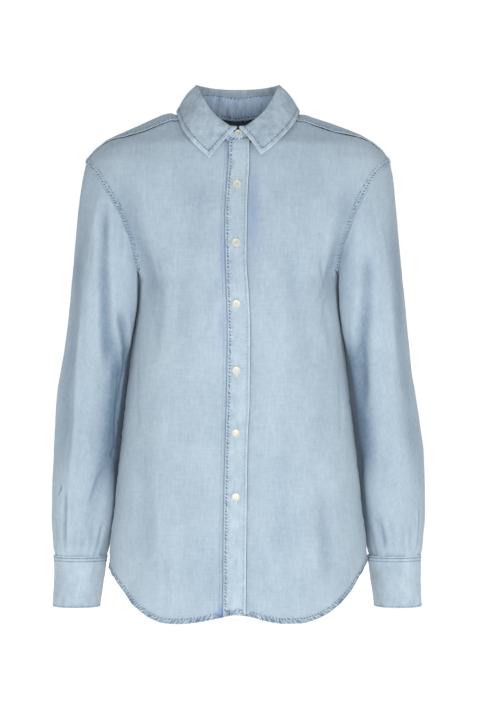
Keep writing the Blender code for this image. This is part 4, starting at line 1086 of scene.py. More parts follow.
def front_sheet(side):
    """Points of a front on the body at +X, from its free edge to the side seam."""
    line = front_edges(side)[0]
    top, right = front_frame(side)
    hem_z = hem_height(line(HEM[1][1]), side)
    up, across = shares_of(right), shares_of(top)
    z = hem_z + (top[0, 2] - hem_z) * up
    left = on_body(line(z), z, False)
    left[-1] = top[0]
    bottom = resampled(hem_edge(left[0, 0], side + "_front_z", side), across)
    bottom[0] = left[0]
    bottom[-1] = right[0]
    points = filled(left, right, bottom, top, across, up, unwrap, wrap)
    strip = front_strip(side, np.linspace(1, 0, 9)[:-1], up)
    return np.concatenate([strip, points], axis=1)


def front(side):
    points = front_sheet(side)
    lift = np.zeros(points.shape[:2])
    if side == "left":
        inside = points[..., 0] - front_edges(side)[0](points[..., 2])
        lift -= (CLOTH + GAP + UNDERLAP) * (1 - ease(inside / LEFT_RISE))
    else:
        inside = front_edges(side)[0](points[..., 2]) - points[..., 0]
        lift -= UNDER_PLACKET * ease(inside / 3)
    column = side + "_front_z"
    low = float(front_edges(side)[1](HEM[1][1]))
    seams = [
        (armhole_line(side + "_front_x"), "armhole", 11),
        (side_seam(side), "side", 12),
        (yoke_front_seam(), "tuck", 13),
        (neck_points(np.linspace(-14, NECK_SEAM_ANGLE, LINE_POINTS)), "tuck", 14),
        (hem_edge(low, column, side), "hem", 15),
    ]
    down = np.linspace(-712, -40, LINE_POINTS)
    if side == "right":
        seams.append((on_body(-placket_sewn(down), down, False), "welt", 16))
    else:
        seams.append((on_body(placket_free(down), down, False), "under_placket", 16))
    seams = [(on_side(seam, side), kind, seed) for seam, kind, seed in seams]
    sheet, normals, marks = tucked(*sewn(on_side(points, side), seams, lift), (0, -1))
    thread_rows(f"front_{side}", sheet, marks, (1, -1), (0, 0))
    cloth("front", sheet, normals, marks, side, laid_out=unwrap)


def placket():
    _, right = front_frame("right")
    width = length_of(front_strip("right", np.linspace(1, 0, 5), np.array([0.5]))[0])
    shares = 1 - spaced(width, 2.2, EDGE_STEPS[:7], EDGE_STEPS[:7])
    points = on_side(front_strip("right", shares, shares_of(right)), "right")
    seams = [
        (points[:, 0], "placket_edge", 21),
        (points[:, -1], "placket_seam", 22),
        (points[0], "hem", 23),
    ]
    sheet, normals, marks = sewn(points, seams, GAP + PLACKET_CLOTH)
    thread_rows("front_placket", sheet, marks, (1, 0), (1, -1), (0, 0))
    cloth("placket", sheet, normals, marks)


def back_half(side, up):
    """Points of half the back at +X, from the centre to the side seam."""
    lower, _ = back_armhole()
    top = edge_of((yoke_back_seam(), COLUMN_STEP, (), EDGE_STEPS))
    right = resampled(np.concatenate([side_seam(side), lower[1:]]), up)
    hem_z = HEM[1][3]
    left = on_body(0, hem_z + (YOKE_BACK_Z - hem_z) * up, True)
    across = shares_of(top)
    bottom = resampled(hem_edge(0, "back_z", side), across)
    bottom[-1] = right[0]
    return filled(left, right, bottom, top, across, up, partial(unwrap, back=True), partial(wrap, back=True))


def unwrapped_back(points):
    flat = unwrap(points, back=True)
    return flat * np.stack([np.sign(points[..., 0]), np.ones(points.shape[:2])], axis=-1)


def back():
    lower, _ = back_armhole()
    up = shares_of(edge_of((side_seam("right"), ROW_STEP, EDGE_STEPS, ()), (lower, ROW_STEP, (), EDGE_STEPS)))
    seams = []
    for number, side in enumerate(SIDES):
        lines = (
            (lower, "armhole"), (side_seam(side), "tuck"), (yoke_back_seam(), "tuck"),
            (hem_edge(0, "back_z", side), "hem"),
        )
        for line, kind in lines:
            seams.append((on_side(line, side), kind, 31 + 5 * number + len(seams) % 4))
    halves = [on_side(back_half(side, up), side) for side in ("right", "left")]
    points = np.concatenate([halves[0][:, ::-1], halves[1][:, 1:]], axis=1)
    sheet, normals, marks = tucked(*sewn(points, seams), (1, 0), (1, -1))
    sheet, normals, marks = tucked(sheet, normals, marks, (0, -1), reach=YOKE_SEAM_ALLOWANCE, drop=YOKE_SEAM_DROP)
    thread_rows("back", sheet, marks, (0, 0), (1, 0), (1, -1))
    cloth("back", sheet, normals, marks, laid_out=unwrapped_back)


def over_shoulder(points):
    """Lays points near the shoulder line out flat as (x, distance before or behind it)."""
    x, y, z = np.moveaxis(points, -1, 0)
    away = np.sqrt(np.maximum(ridge_height(x) - z, 0))
    return np.stack([x, np.where(y > 0, away, -away)], axis=-1)


def from_over_shoulder(flat):
    x, away = np.moveaxis(flat, -1, 0)
    return on_body(x, ridge_height(x) - away**2, away > 0)


def yoke_half():
    """Points of half the yoke at +X, from the front seam to the back centre."""
    upper, seam = back_armhole()[1][::-1], yoke_back_seam()[::-1]
    corner = 0.2
    first_part = corner * spaced(length_of(upper), 2.0, EDGE_STEPS)
    second_part = corner + (1 - corner) * spaced(length_of(seam), 3.0)
    rows = np.r_[first_part, second_part[1:]]
    inner = neck_points(NECK_SEAM_ANGLE + (180 - NECK_SEAM_ANGLE) * rows)
    outer = np.concatenate([
        resampled(upper, first_part / corner),
        resampled(seam, (second_part[1:] - corner) / (1 - corner)),
    ])
    first = edge_of((yoke_front_seam(), 2.6, (), EDGE_STEPS))
    across = shares_of(first)
    last = on_body(0, inner[-1, 2] + (YOKE_BACK_Z - inner[-1, 2]) * across, True)
    inner[-1] = last[0]
    return filled(inner, outer, first, last, across, rows, over_shoulder, from_over_shoulder)


def yoke():
    half = yoke_half()
    points = np.concatenate([on_side(half, "right"), on_side(half, "left")[::-1][1:]])
    seams = [(neck_points(np.linspace(-180, 180, LINE_POINTS)), "tuck", 14)]
    for side in SIDES:
        lines = (back_armhole()[1], "armhole"), (yoke_front_seam(), "yoke"), (yoke_back_seam(), "yoke")
        for line, kind in lines:
            seams.append((on_side(line, side), kind, 51 + len(seams)))
    sheet, normals, marks = sewn(points, seams)
    thread_rows("yoke", sheet, marks, (0, 0), (0, -1), (1, -1))
    cloth("yoke", sheet, normals, marks)


# --- Sleeves and cuffs


def rounded(values, roundness):
    return np.sign(values) * np.abs(values) ** (2 / roundness)


def sleeve_ring(side, z, angle):
    """A point of a level section of the sleeve at +X. Angle 0 is outside, 90 in front."""
    names = (side + "_outer", "inner", "centre_y", "half_depth")
    outer, inner, centre, deep = (sleeve_at[name](z) for name in names)
    turn = np.radians(angle)
    x = (outer + inner) / 2 + (outer - inner) / 2 * rounded(np.cos(turn), SLEEVE_ROUNDNESS)
    return np.stack([x, centre - deep * rounded(np.sin(turn), SLEEVE_ROUNDNESS), z + 0 * x], axis=-1)


def armhole_round(side):
    """The armhole at +X from the shoulder point forward and round, with its angles."""
    before = armhole_line(side + "_front_x")[::-1]
    behind = armhole_line("back_x")
    angles = np.r_[180 * shares_of(before), 180 + 180 * shares_of(behind)[1:]]
    return np.concatenate([before, behind[1:]]), angles


def beside_body(points, amount):
    """Keeps sleeve points at +X clear of the body."""
    x, y, z = np.moveaxis(points, -1, 0)
    share = np.clip(np.abs(y) / depth_at(z, y > 0), 0, 1)
    least = half_width(z) * (1 - share**2) ** (1 / ROUNDNESS) + SLEEVE_ROOM * amount
    soft = SLEEVE_SOFTNESS * amount
    clear = (x + least + np.sqrt((x - least) ** 2 + soft**2)) / 2
    return np.stack([np.where(amount > 0, clear, x), y, z], axis=-1)


def sleeve_points(side, angle, t):
    """Points of the sleeve at +X by angle and by share of the way from armhole to cuff."""
    line, turns = armhole_round(side)
    line = on_side(creased(on_side(line, side))[0], side)
    start = np.stack([np.interp(angle % 360, turns, axis) for axis in line.T], axis=-1)
    z = start[..., 2] + (SLEEVE_END_Z - start[..., 2]) * t
    pull = start - sleeve_ring(side, start[..., 2], angle)
    hold = (1 - ease(t / SLEEVE_HEAD))[..., None]
    return beside_body(sleeve_ring(side, z, angle) + pull * hold, ease(t / SLEEVE_CLEAR))


def sleeve_folds(side, rows):
    line, turns = armhole_round(side)
    folds = []
    for row in rows[side]:
        fold = dict(zip(SLEEVE_FOLD_COLUMNS, row))
        ends = []
        for end in ("1", "2"):
            angle = float(fold["angle" + end])
            start = np.interp(angle % 360, turns, line[:, 2])
            share = (fold["z" + end] - start) / (SLEEVE_END_Z - start)
            ends.append(sleeve_points(side, np.array(angle), share))
        folds.append((*ends, fold["depth"], fold["half_width"]))
    return folds


SLEEVE_COLUMNS_ROUND = 150
HEAD_EASED = 0.24  # share of a sleeve's length in which its cloth is eased smooth below the armhole
HEAD_EASINGS = 70
CUFF_LENGTH_OF_DEGREE = 0.66  # length round the cuff for each degree
GATHER_LENGTH = 5.5
GATHER_REACH = 24
GATHER_HEIGHT = 1.5
CUFF_PINCH = 1.2  # how far the cloth goes in where the cuff holds it
CUFF_PINCH_REACH = 7
SLEEVE_LENGTH = 540
SLEEVE_SEAM_SHARES = {"armhole": 0.5, "side": 0.5, "gathers": 0.3}  # of a plain seam's heights
INSIDE_CUFF = ((2.0, 0.97), (7.0, 0.94))  # how far the sleeve runs on down in its cuff, and its size there
STRIP_SIZE = 27, 112


def sleeve_cloth(side, angle, t):
    """The sleeve's cloth at +X with its folds and gathers, its normals, and how deep the folds are, plus painted
    shade in its valleys and where it lies against the body.
    """
    points = sleeve_points(side, angle, t)
    closed = angle.shape[1] > SLEEVE_COLUMNS_ROUND - 1
    loose = (1 - ease(t[1:-1] / HEAD_EASED))[..., None] / 4
    for _ in range(HEAD_EASINGS):
        points[1:-1] += loose * (points[:-2] + points[2:] - 2 * points[1:-1])
    normals = sheet_normals(points, closed)
    normals = facing_out(normals, points, points.mean(axis=1, keepdims=True))
    shift = LUMPS_SHIFT[side]
    depth = pressed(points, sleeve_folds(side, SLEEVE_FOLDS)) - lumps(points + shift, "body")
    above_cuff = points[..., 2] - SLEEVE_END_Z
    gathers = ripple(angle * CUFF_LENGTH_OF_DEGREE, GATHER_LENGTH, shift + 3) * bell(above_cuff, GATHER_REACH)
    depth += CUFF_PINCH * bell(above_cuff, CUFF_PINCH_REACH) - GATHER_HEIGHT * gathers
    # the third value is the folds' depth with extra painted shade added; the finish paints the cloth darker by it
    return points - normals * depth[..., None], normals, depth + pressed(points, sleeve_folds(side, SLEEVE_FOLD_SHADE))


def sleeve(side):
    line, turns = armhole_round(side)
    shares = np.linspace(0, 1, SLEEVE_COLUMNS_ROUND // 2 + 1)
    angles = np.r_[180 * shares, 180 + 180 * shares[1:-1]]
    t = spaced(SLEEVE_LENGTH, ROW_STEP, EDGE_STEPS, EDGE_STEPS)[:, None]
    angle, t = np.broadcast_arrays(angles[None], t)
    sheet, normals, depth = sleeve_cloth(side, angle, t)
    body = body_normals(on_side(np.stack([np.interp(angles, turns, axis) for axis in line.T], axis=-1), side))
    body = on_side(body, side)
    marks = plain_marks(sheet.shape[:2])
    # painted shade: the finish darkens the sleeve by its folds' depth and the extra shade of its valleys and where it
    # lies against the body
    marks["fold"] = depth
    height = np.zeros(sheet.shape[:2])
    for number, name in enumerate((side + "_front_x", "back_x")):
        seam = on_side(creased(on_side(armhole_line(name), side))[0], side)
        height += beside_seam(sheet, seam, "tuck", 11 + 19 * number, marks) * SLEEVE_SEAM_SHARES["armhole"]
    under = sheet[:, len(angles) // 2]
    height += beside_seam(sheet, under, "side", 61, marks) * SLEEVE_SEAM_SHARES["side"]
    foot = np.concatenate([sheet[-1], sheet[-1, :1]])
    height += beside_seam(sheet, foot, "gathers", 62, marks) * SLEEVE_SEAM_SHARES["gathers"]
    sheet = sheet + normals * height[..., None]
    head = sheet[0] - body * TUCK_DROP
    tangent = np.roll(head, -1, axis=0) - np.roll(head, 1, axis=0)
    into = np.cross(body, tangent)
    into /= np.linalg.norm(into, axis=-1, keepdims=True)
    into *= np.sign(np.sum(into * (np.array([0, 0, -300.0]) - head), axis=-1, keepdims=True))
    sheet[0] = head
    first = head + into * TUCKED_IN - body * TUCKED_UNDER
    centre = sheet[-1].mean(axis=0)
    ends = [centre + (sheet[-1] - centre) * share - np.array([0, 0, drop]) for drop, share in INSIDE_CUFF]
    sheet, normals, marks = grown(sheet, normals, marks, [first], ends)
    cloth("sleeve", on_side(sheet, side), on_side(normals, side), marks, side, closed=True)


def sleeve_strip(side):
    """The strip over the slit above the cuff."""
    wide, long = STRIP_SIZE
    first, last = SLIT_ANGLES
    angle = first + (last - first) * spaced(wide, 2.2, EDGE_STEPS[:6], EDGE_STEPS[:6])
    t = SLIT_TOP + (1 - SLIT_TOP) * spaced(long, 2.6, EDGE_STEPS[:6], ())
    angle, t = np.broadcast_arrays(angle[None], t[:, None])
    sheet, _, depth = sleeve_cloth(side, angle, t)
    normals = sheet_normals(sheet)
    normals = normals * np.sign(np.sum(normals[..., 1]))
    marks = plain_marks(sheet.shape[:2])
    # painted shade: the finish darkens the strip by the sleeve's folds' depth and its extra shade
    marks["fold"] = depth
    height = np.full(sheet.shape[:2], GAP + STRIP_CLOTH)
    for seed, line in enumerate((sheet[0], sheet[:, 0], sheet[:, -1]), 71):
        height += beside_seam(sheet, line, "strip", seed, marks)
    sheet = sheet + normals * height[..., None]
    cloth("strip", on_side(sheet, side), on_side(normals, side), marks, side)


def cuff_point(side, z, angle, lift):
    """A point of the cuff at +X, moved out by lift."""
    names = (side + "_centre_x", "centre_y", "half_width", "half_depth")
    centre_x, centre_y, wide, deep = (cuff_at[name](z) for name in names)
    turn = np.radians(angle)
    y = centre_y - (deep + lift) * np.sin(turn)
    return np.stack([centre_x + (wide + lift) * np.cos(turn), y, z + 0 * y], axis=-1)


CUFF_LENGTH = 255
CUFF_END_SMOOTH = 40  # degrees from the cuff's end over which it gets uneven


def cuff(side):
    turn = CUFF_TURN * spaced(CUFF_LENGTH, 2.2, EDGE_STEPS[:8], EDGE_STEPS[:8])[None]
    top, foot = CUFF[0][0], CUFF[-1][0]
    z = top + (foot - top) * spaced(top - foot, 2.2, EDGE_STEPS[:8], EDGE_STEPS[:8])[:, None]
    lift = (CUFF_CLOTH + GAP) * ease((turn - CUFF_TURN + CUFF_LAP + CUFF_LAP_RISE) / CUFF_LAP_RISE)
    points = cuff_point(side, z, CUFF_START - turn, lift)
    normals = facing_out(sheet_normals(points), points, points.mean(axis=1, keepdims=True))
    marks = plain_marks(points.shape[:2])
    height = lumps(points + LUMPS_SHIFT[side] + 100, "cuff") * ease((CUFF_TURN - turn) / CUFF_END_SMOOTH)
    lines = (points[0], "cuff"), (points[-1], "cuff_foot"), (points[:, 0], "strip"), (points[:, -1], "strip")
    for number, (line, kind) in enumerate(lines):
        height = height + beside_seam(points, line, kind, 81 + number, marks)
    sheet = points + normals * height[..., None]
    # painted shade from the cuff's relief: darker where it lies low, lighter where it stands up
    marks["fold"] = -3 * height
    thread_rows(f"cuff_{side}", on_side(sheet, side), marks, (0, 0), (0, -1), (1, 0), (1, -1))
    cloth("cuff", on_side(sheet, side), on_side(normals, side), marks, side)


# --- Collar


def round_neck(angle, half, before, behind):
    """A point of an oval seen from above. Angle 90 is at the wearer's right."""
    turn = np.radians(angle)
    deep = np.where(np.cos(turn) > 0, before, behind)
    return np.stack([-half * np.sin(turn), -deep * np.cos(turn)], axis=-1)


def away_from_neck(angle):
    """Level directions out of the neck."""
    turn = np.radians(angle)
    deep = np.where(np.cos(turn) > 0, NECK_FRONT, NECK_BACK)
    out = np.stack([-np.sin(turn) / NECK_HALF_WIDTH, -np.cos(turn) / deep, 0 * turn], axis=-1)
    return out / np.linalg.norm(out, axis=-1, keepdims=True)


def stand_laps(angle):
    """How far the stand's first end is moved out, and its last end in, to lap at the front."""
    step = (STAND_CLOTH + 2 * GAP) / 2
    start = 1 - ease((angle - STAND_END) / STAND_RAMP)
    return start * step, ease((angle - 360 + STAND_END + STAND_RAMP) / STAND_RAMP) * step


def stand_points(angle, share):
    """Points of the stand's outer side, by angle round the neck and share of its height."""
    angle, share = np.broadcast_arrays(np.asarray(angle, float), np.asarray(share, float))
    seam = round_neck(angle, NECK_HALF_WIDTH, NECK_FRONT, NECK_BACK)
    foot = np.concatenate([seam, body_height(seam[..., 0], seam[..., 1])[..., None]], axis=-1)
    out = away_from_neck(angle)
    body = body_normals(foot)
    into = -(out - body * np.sum(out * body, axis=-1, keepdims=True))
    into /= np.linalg.norm(into, axis=-1, keepdims=True)
    turned = np.abs((angle + 180) % 360 - 180)
    height, lean = (read(turned) for read in stand_at.values())
    start, end = stand_laps(angle)
    raised = STAND_LIFT - start * np.sum(out * into, axis=-1)
    moved = start - end - lean * np.maximum(share, 0) ** STAND_CURVE
    points = foot + into * raised[..., None] + out * moved[..., None]
    points[..., 2] += height * np.maximum(share, 0)
    below = np.maximum(-share, 0)[..., None]
    return points + below * (body * 0.4 - into * 1.6)


STAND_SIZE = 570, 30
STAND_PUCKER = 0.45  # height of the folds across the stand, where its cloth is drawn up
STAND_PUCKER_LENGTH = 3.6


def stand():
    long, wide = STAND_SIZE
    angle = -STAND_END + (360 + 2 * STAND_END) * spaced(long, 2.0, EDGE_STEPS[:6], EDGE_STEPS[:6])[None]
    share = np.r_[-1.0, spaced(wide, 1.7, EDGE_STEPS[:6], EDGE_STEPS[:3])][:, None]
    points = stand_points(angle, share)
    normals = sheet_normals(points)
    normals = facing_out(normals, normals * 0 + away_from_neck(angle), 0)
    marks = plain_marks(points.shape[:2])
    height = lumps(points, "stand") + STAND_PUCKER * ripple(angle * 1.2 + 0 * share, STAND_PUCKER_LENGTH, 19)
    for number, line in enumerate((points[1], points[-1], points[:, 0], points[:, -1])):
        height = height + beside_seam(points, line, "stand", 91 + number, marks)
    # painted shade from the stand's relief: darker where it lies low, lighter where it stands up
    marks["fold"] = -6 * height
    sheet = points + normals * (height * ease(share * 6 + 0.4))[..., None]
    cloth("stand", sheet, normals, marks)


def through(rows, places):
    """Smooth points through rows of points. A place is a row's number and a share of the way on."""
    step = np.sqrt(np.linalg.norm(np.diff(rows, axis=0), axis=-1, keepdims=True))
    slope = np.diff(rows, axis=0) / step
    middle = (slope[:-1] * step[1:] + slope[1:] * step[:-1]) / (step[:-1] + step[1:])
    tangent = np.concatenate([slope[:1], middle, slope[-1:]])
    made = []
    for place in places:
        i = min(int(place), len(rows) - 2)
        t = place - i
        ends = rows[i] * (1 + 2 * t) * (1 - t) ** 2 + rows[i + 1] * t**2 * (3 - 2 * t)
        made.append(ends + step[i] * t * (1 - t) * (tangent[i] * (1 - t) - tangent[i + 1] * t))
    return np.stack(made)


# Where the leaf's points are: its rows' numbers and shares of the way on, to the fold, over it and down
LEAF_PLACES = np.r_[
    0, 0.33, 0.66, 1, 1.3, 1.6, 1.85, 2, 2.15, 2.4, 2.7, 3,
    3 + np.linspace(0, 1, 7)[1:], 4 + np.linspace(0, 1, 7)[1:], 5 + spaced(18, 2, (), EDGE_STEPS[:9])[1:],
]
LEAF_END_STEPS = (0.25, 0.4, 0.55, 0.7, 0.8, 0.9)  # in degrees
LEAF_FALL = 8  # the leaf's row from which its cloth is uneven and its ends are sewn


def leaf_points(angle):
    """The leaf's upper side, from the stand over the fold to the edge."""
    fold_z, *edge = (read(angle) for read in leaf_at.values())
    edge = np.stack(edge, axis=-1)
    start, end = (lap[:, None] for lap in stand_laps(angle))
    turned = np.abs((angle + 180) % 360 - 180)[:, None]
    width, drop = (read(turned) for read in fold_round_at.values())
    out = away_from_neck(angle)
    up = np.array([0, 0, 1.0])
    root = stand_points(angle, 1) - out * STAND_CLOTH + up * LEAF_LIFT
    oval = round_neck(angle, FOLD_HALF_WIDTH, FOLD_FRONT, FOLD_BACK)
    fold = np.concatenate([oval, fold_z[:, None]], axis=1) + out * start
    inner = root + up * (fold - root)[:, 2:] * FOLD_INNER_SHARE - out * FOLD_INNER_LEAN
    outer = fold + out * (width + 2 * end) - up * drop
    rows = [root, inner, fold, outer]
    for share in LEAF_SHARES:
        crown = 4 * share * (1 - share)
        rows.append(outer + (edge - outer) * share + (out * LEAF_CROWN_OUT + up * LEAF_CROWN_UP) * crown)
    return through(np.stack([*rows, edge]), LEAF_PLACES)


def leaf():
    first, last = LEAF[0][0], LEAF[-1][0]
    angle = first + (last - first) * spaced(last - first, 1.15, LEAF_END_STEPS, LEAF_END_STEPS)
    points = leaf_points(angle)
    normals = sheet_normals(points)
    normals *= np.sign(np.sum(normals[-2] * away_from_neck(angle)))
    marks = plain_marks(points.shape[:2])
    height = lumps(points, "leaf") * ease((np.arange(len(points)) - LEAF_FALL) / LEAF_FALL)[:, None]
    for number, line in enumerate((points[-1], points[LEAF_FALL:, 0], points[LEAF_FALL:, -1])):
        height = height + beside_seam(points, line, "leaf", 101 + number, marks)
    # painted shade from the leaf's relief: darker where it lies low, lighter where it stands up
    marks["fold"] = -4 * height
    sheet = points + normals * height[..., None]
    thread_rows("collar_leaf", sheet, marks, (0, -1), (1, 0), (1, -1))
    root = sheet[0] - np.array([0, 0, TUCKED_IN]) + away_from_neck(angle) * 0.5
    cloth("leaf", *grown(sheet, normals, marks, [root]))


# --- Buttons and buttonholes


def button_blank():
    """A button with its back at the origin and its face up: a dished disc with four holes, sewn on."""
    bpy.ops.mesh.primitive_circle_add(vertices=BUTTON_SIDES, radius=BUTTON_PROFILE[0][0] * MM, fill_type="NGON")
    disc = bpy.context.object
    bpy.ops.object.mode_set(mode="EDIT")
    for (radius, height), (next_radius, next_height) in zip(BUTTON_PROFILE, BUTTON_PROFILE[1:]):
        rise = (0, 0, (next_height - height) * MM)
        bpy.ops.mesh.extrude_region_move(TRANSFORM_OT_translate={"value": rise})
        grow = next_radius / radius
        bpy.ops.transform.resize(value=(grow, grow, 1), center_override=(0, 0, 0))
    bpy.ops.mesh.select_all(action="SELECT")
    bpy.ops.mesh.normals_make_consistent(inside=False)
    bpy.ops.object.mode_set(mode="OBJECT")
    disc.data.materials.append(finishes["button"])
    holes = []
    for x, y in BUTTON_HOLES:
        bpy.ops.mesh.primitive_cylinder_add(
            vertices=12, radius=BUTTON_HOLE_RADIUS * MM, depth=0.01, location=(x * MM, y * MM, 0)
        )
        holes.append(bpy.context.object)
    cutter = joined("holes", holes, finishes["button"])
    alone(disc)
    cut = disc.modifiers.new("cut", "BOOLEAN")
    cut.operation = "DIFFERENCE"
    cut.object = cutter
    bpy.ops.object.modifier_apply(modifier=cut.name)
    bpy.data.objects.remove(cutter)
    bpy.ops.object.shade_smooth_by_angle(angle=math.radians(50))
    threads = []
    thin = BUTTON_THREAD / BUTTON_THREAD_REACH
    for x in (-BUTTON_HOLES[0][0], BUTTON_HOLES[0][0]):
        for turn in (x - BUTTON_THREAD_BESIDE, x + BUTTON_THREAD_BESIDE):
            place = (turn, 0, BUTTON_PROFILE[-1][1])
            threads.append(stitch(BUTTON_THREAD_REACH, (thin, 1, thin * 2), place, segments=8, rings=6))
    thread = joined("sewn", threads, finishes["button_thread"])
    alone(disc)
    thread.select_set(True)
    bpy.ops.object.join()
    return disc


def put(blank, name, place, normal, up=(0, 0, 1)):
    """A copy of a blank at a place, its face along a normal and its Y axis near a direction up."""
    piece = blank.copy()
    piece.data = blank.data.copy()
    piece.name = piece.data.name = name
    bpy.context.collection.objects.link(piece)
    face = Vector(normal).normalized()
    side = Vector(up).cross(face).normalized()
    matrix = Matrix((side, face.cross(side), face)).transposed().to_4x4()
    piece.matrix_world = Matrix.Translation(Vector(place) * MM) @ matrix
    alone(piece)
    bpy.ops.object.transform_apply(location=True, rotation=True, scale=True)
    piece.select_set(False)
    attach(piece, "root")
    return piece


def placket_place(x, z, lift):
    """A place on the placket and the way it faces."""
    place, normal, _ = creased(on_body([x], [z], False), GAP + PLACKET_CLOTH + lift)
    return place[0], normal[0]


def collar_place(lift):
    x, z = COLLAR_BUTTON
    angle = -math.degrees(math.asin(x / NECK_HALF_WIDTH))
    foot, top = stand_points(np.array([angle, angle]), np.array([0.0, 1.0]))
    share = (z - foot[2]) / (top[2] - foot[2])
    normal = np.cross(top - foot, (1, 0, 0))
    normal *= -np.sign(normal[1]) / np.linalg.norm(normal)
    return stand_points(angle, share) + normal * lift, normal


def cuff_place(side, lift):
    place = cuff_point(side, CUFF_BUTTON_Z, CUFF_BUTTON_ANGLE, CUFF_CLOTH + GAP + lift)
    turn = math.radians(CUFF_BUTTON_ANGLE)
    return on_side(place, side), on_side(np.array([math.cos(turn), -math.sin(turn), 0]), side)


def button_places(lift):
    """Where the buttons are and how they face, for the front, the collar and the cuffs."""
    return (
        {f"front_{number}": placket_place(x, z, lift) for number, (x, z) in enumerate(FRONT_BUTTONS, 1)},
        {"collar": collar_place(lift)},
        {"cuff_" + side: cuff_place(side, lift) for side in SIDES},
    )


def buttons():
    """Every button in its solid's place."""
    blank = button_blank()
    for places in button_places(GAP):
        for name, (place, normal) in places.items():
            piece = put(blank, f"button_{name}_sewn", place, normal)
            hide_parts("button_" + name)
    bpy.data.objects.remove(blank)


def buttonhole_blank(bent=None):
    """A worked buttonhole along Y: close stitches on both sides of the slit and bars at its ends."""
    parts = []
    thin = HOLE_THREAD / HOLE_STITCH
    for x in (-HOLE_SIDE, HOLE_SIDE):
        parts.append(stitch(HOLE_STITCH, (1, thin, thin), (x, -HOLE_HALF_LENGTH, 0)))
        repeat(parts[-1], (0, HOLE_STEP, 0), round(2 * HOLE_HALF_LENGTH / HOLE_STEP) + 1)
    thin = HOLE_THREAD / HOLE_BAR
    for end in (-1, 1):
        for step in (0, 1, 2):
            place = (0, end * (HOLE_HALF_LENGTH + step * HOLE_STEP), HOLE_LIFT)
            parts.append(stitch(HOLE_BAR, (1, thin, thin * 1.3), place))
    blank = joined("buttonhole", parts, finishes["hole_thread"])
    if bent:
        points = np.empty(len(blank.data.vertices) * 3)
        blank.data.vertices.foreach_get("co", points)
        points = points.reshape(-1, 3)
        points[:, 2] -= points[:, 1] ** 2 / (2 * bent * MM)
        blank.data.vertices.foreach_set("co", points.ravel())
    return blank


def buttonholes():
    """Upright holes in the placket, and level ones in the stand and the cuffs, bent round them."""
    bends = (None, (0, 0, 1)), (NECK_FRONT / 2, (1, 0, 0)), (CUFF[1][5], (1, 0, 0))
    for places, (bent, up) in zip(button_places(HOLE_LIFT), bends):
        blank = buttonhole_blank(bent)
        for name, (place, normal) in places.items():
            put(blank, "buttonhole_" + name, place, normal, up)
        bpy.data.objects.remove(blank)


# --- Finishes


class Wire:
    """An output of a material's node, for sums and products with numbers and other outputs."""

    def __init__(self, tree, socket):
        self.tree = tree
        self.socket = socket

    def node(self, kind, settings=None, inputs=None):
        """Adds a node, sets its settings, and fills its inputs with values or wires."""
        made = self.tree.nodes.new("ShaderNode" + kind)
        for name, value in (settings or {}).items():
            setattr(made, name, value)
        for name, value in (inputs or {}).items():
            if isinstance(value, Wire):
                self.tree.links.new(value.socket, made.inputs[name])
            else:
                made.inputs[name].default_value = value
        return made

    def out(self, kind, settings=None, inputs=None, output=0):
        return Wire(self.tree, self.node(kind, settings, inputs).outputs[output])

    def math(self, operation, *values):
        return self.out("Math", {"operation": operation}, dict(enumerate((self, *values))))

    def __add__(self, other):
        return self.math("ADD", other)

    def __sub__(self, other):
        return self.math("SUBTRACT", other)

    def __mul__(self, other):
        return self.math("MULTIPLY", other)

    def __truediv__(self, other):
        return self.math("DIVIDE", other)

    def __rsub__(self, other):
        return self * -1 + other

    __radd__ = __add__
    __rmul__ = __mul__

    def clamped(self, low=0.0, high=1.0):
        return self.math("MAXIMUM", low).math("MINIMUM", high)

    def bump(self, width):
        """1 where this is 0, falling to 0 at a width either side."""
        away = self / width
        return (1 - away * away).clamped() * (1 - away * away).clamped()

    def step(self, low, high):
        """From 0 to 1 between two values, with soft ends."""
        inputs = {"Value": self, "From Min": low, "From Max": high}
        return self.out("MapRange", {"interpolation_type": "SMOOTHSTEP"}, inputs)

    def noise(self, scale=1.0, detail=1.0, dimensions="3D", **more):
        """Soft random values from 0 to 1 over places."""
        inputs = {"W" if dimensions == "1D" else "Vector": self, "Scale": scale, "Detail": detail, **more}
        return self.out("TexNoise", {"noise_dimensions": dimensions}, inputs)

    def between(self, first, second):
        """The colour that is this share of the way from one to another."""
        return self.out("Mix", {"data_type": "RGBA"}, {"Factor": self, "A": first, "B": second}, output=2)

    def relief(self, distance, strength):
        """The way the surface faces where this raises it."""
        return self.out("Bump", None, {"Height": self, "Distance": distance, "Strength": strength})

    def into(self, node, name):
        self.tree.links.new(self.socket, node.inputs[name])


def new_material(name, settings):
    """A material, the start of its wires, and its surface with the values that don't vary."""
    material = bpy.data.materials.new(name)
    material.use_nodes = True
    tree = material.node_tree
    surface = tree.nodes["Principled BSDF"]
    for key, value in settings.items():
        surface.inputs[key].default_value = value
    return material, Wire(tree, None), surface


# Where blue is left in the fronts' cloth: x and half width, z and half height, and how much
BLUE_PATCHES = (
    (21, 16, -140, 85, 0.36), (-20, 9, -196, 62, 0.32), (-22, 8, -300, 40, 0.24), (-20, 12, -692, 22, 0.9),
    (-15, 5, -60, 30, 0.4),
)
# the blue of the patches, also used for the painted shadow line along tucked seams
PATCH_AND_SHADOW_BLUE = (0.2, 0.28, 0.55, 1)
WASHED = (0.125, 0.2, 0.29, 1), (0.6, 0.7, 0.765, 1)

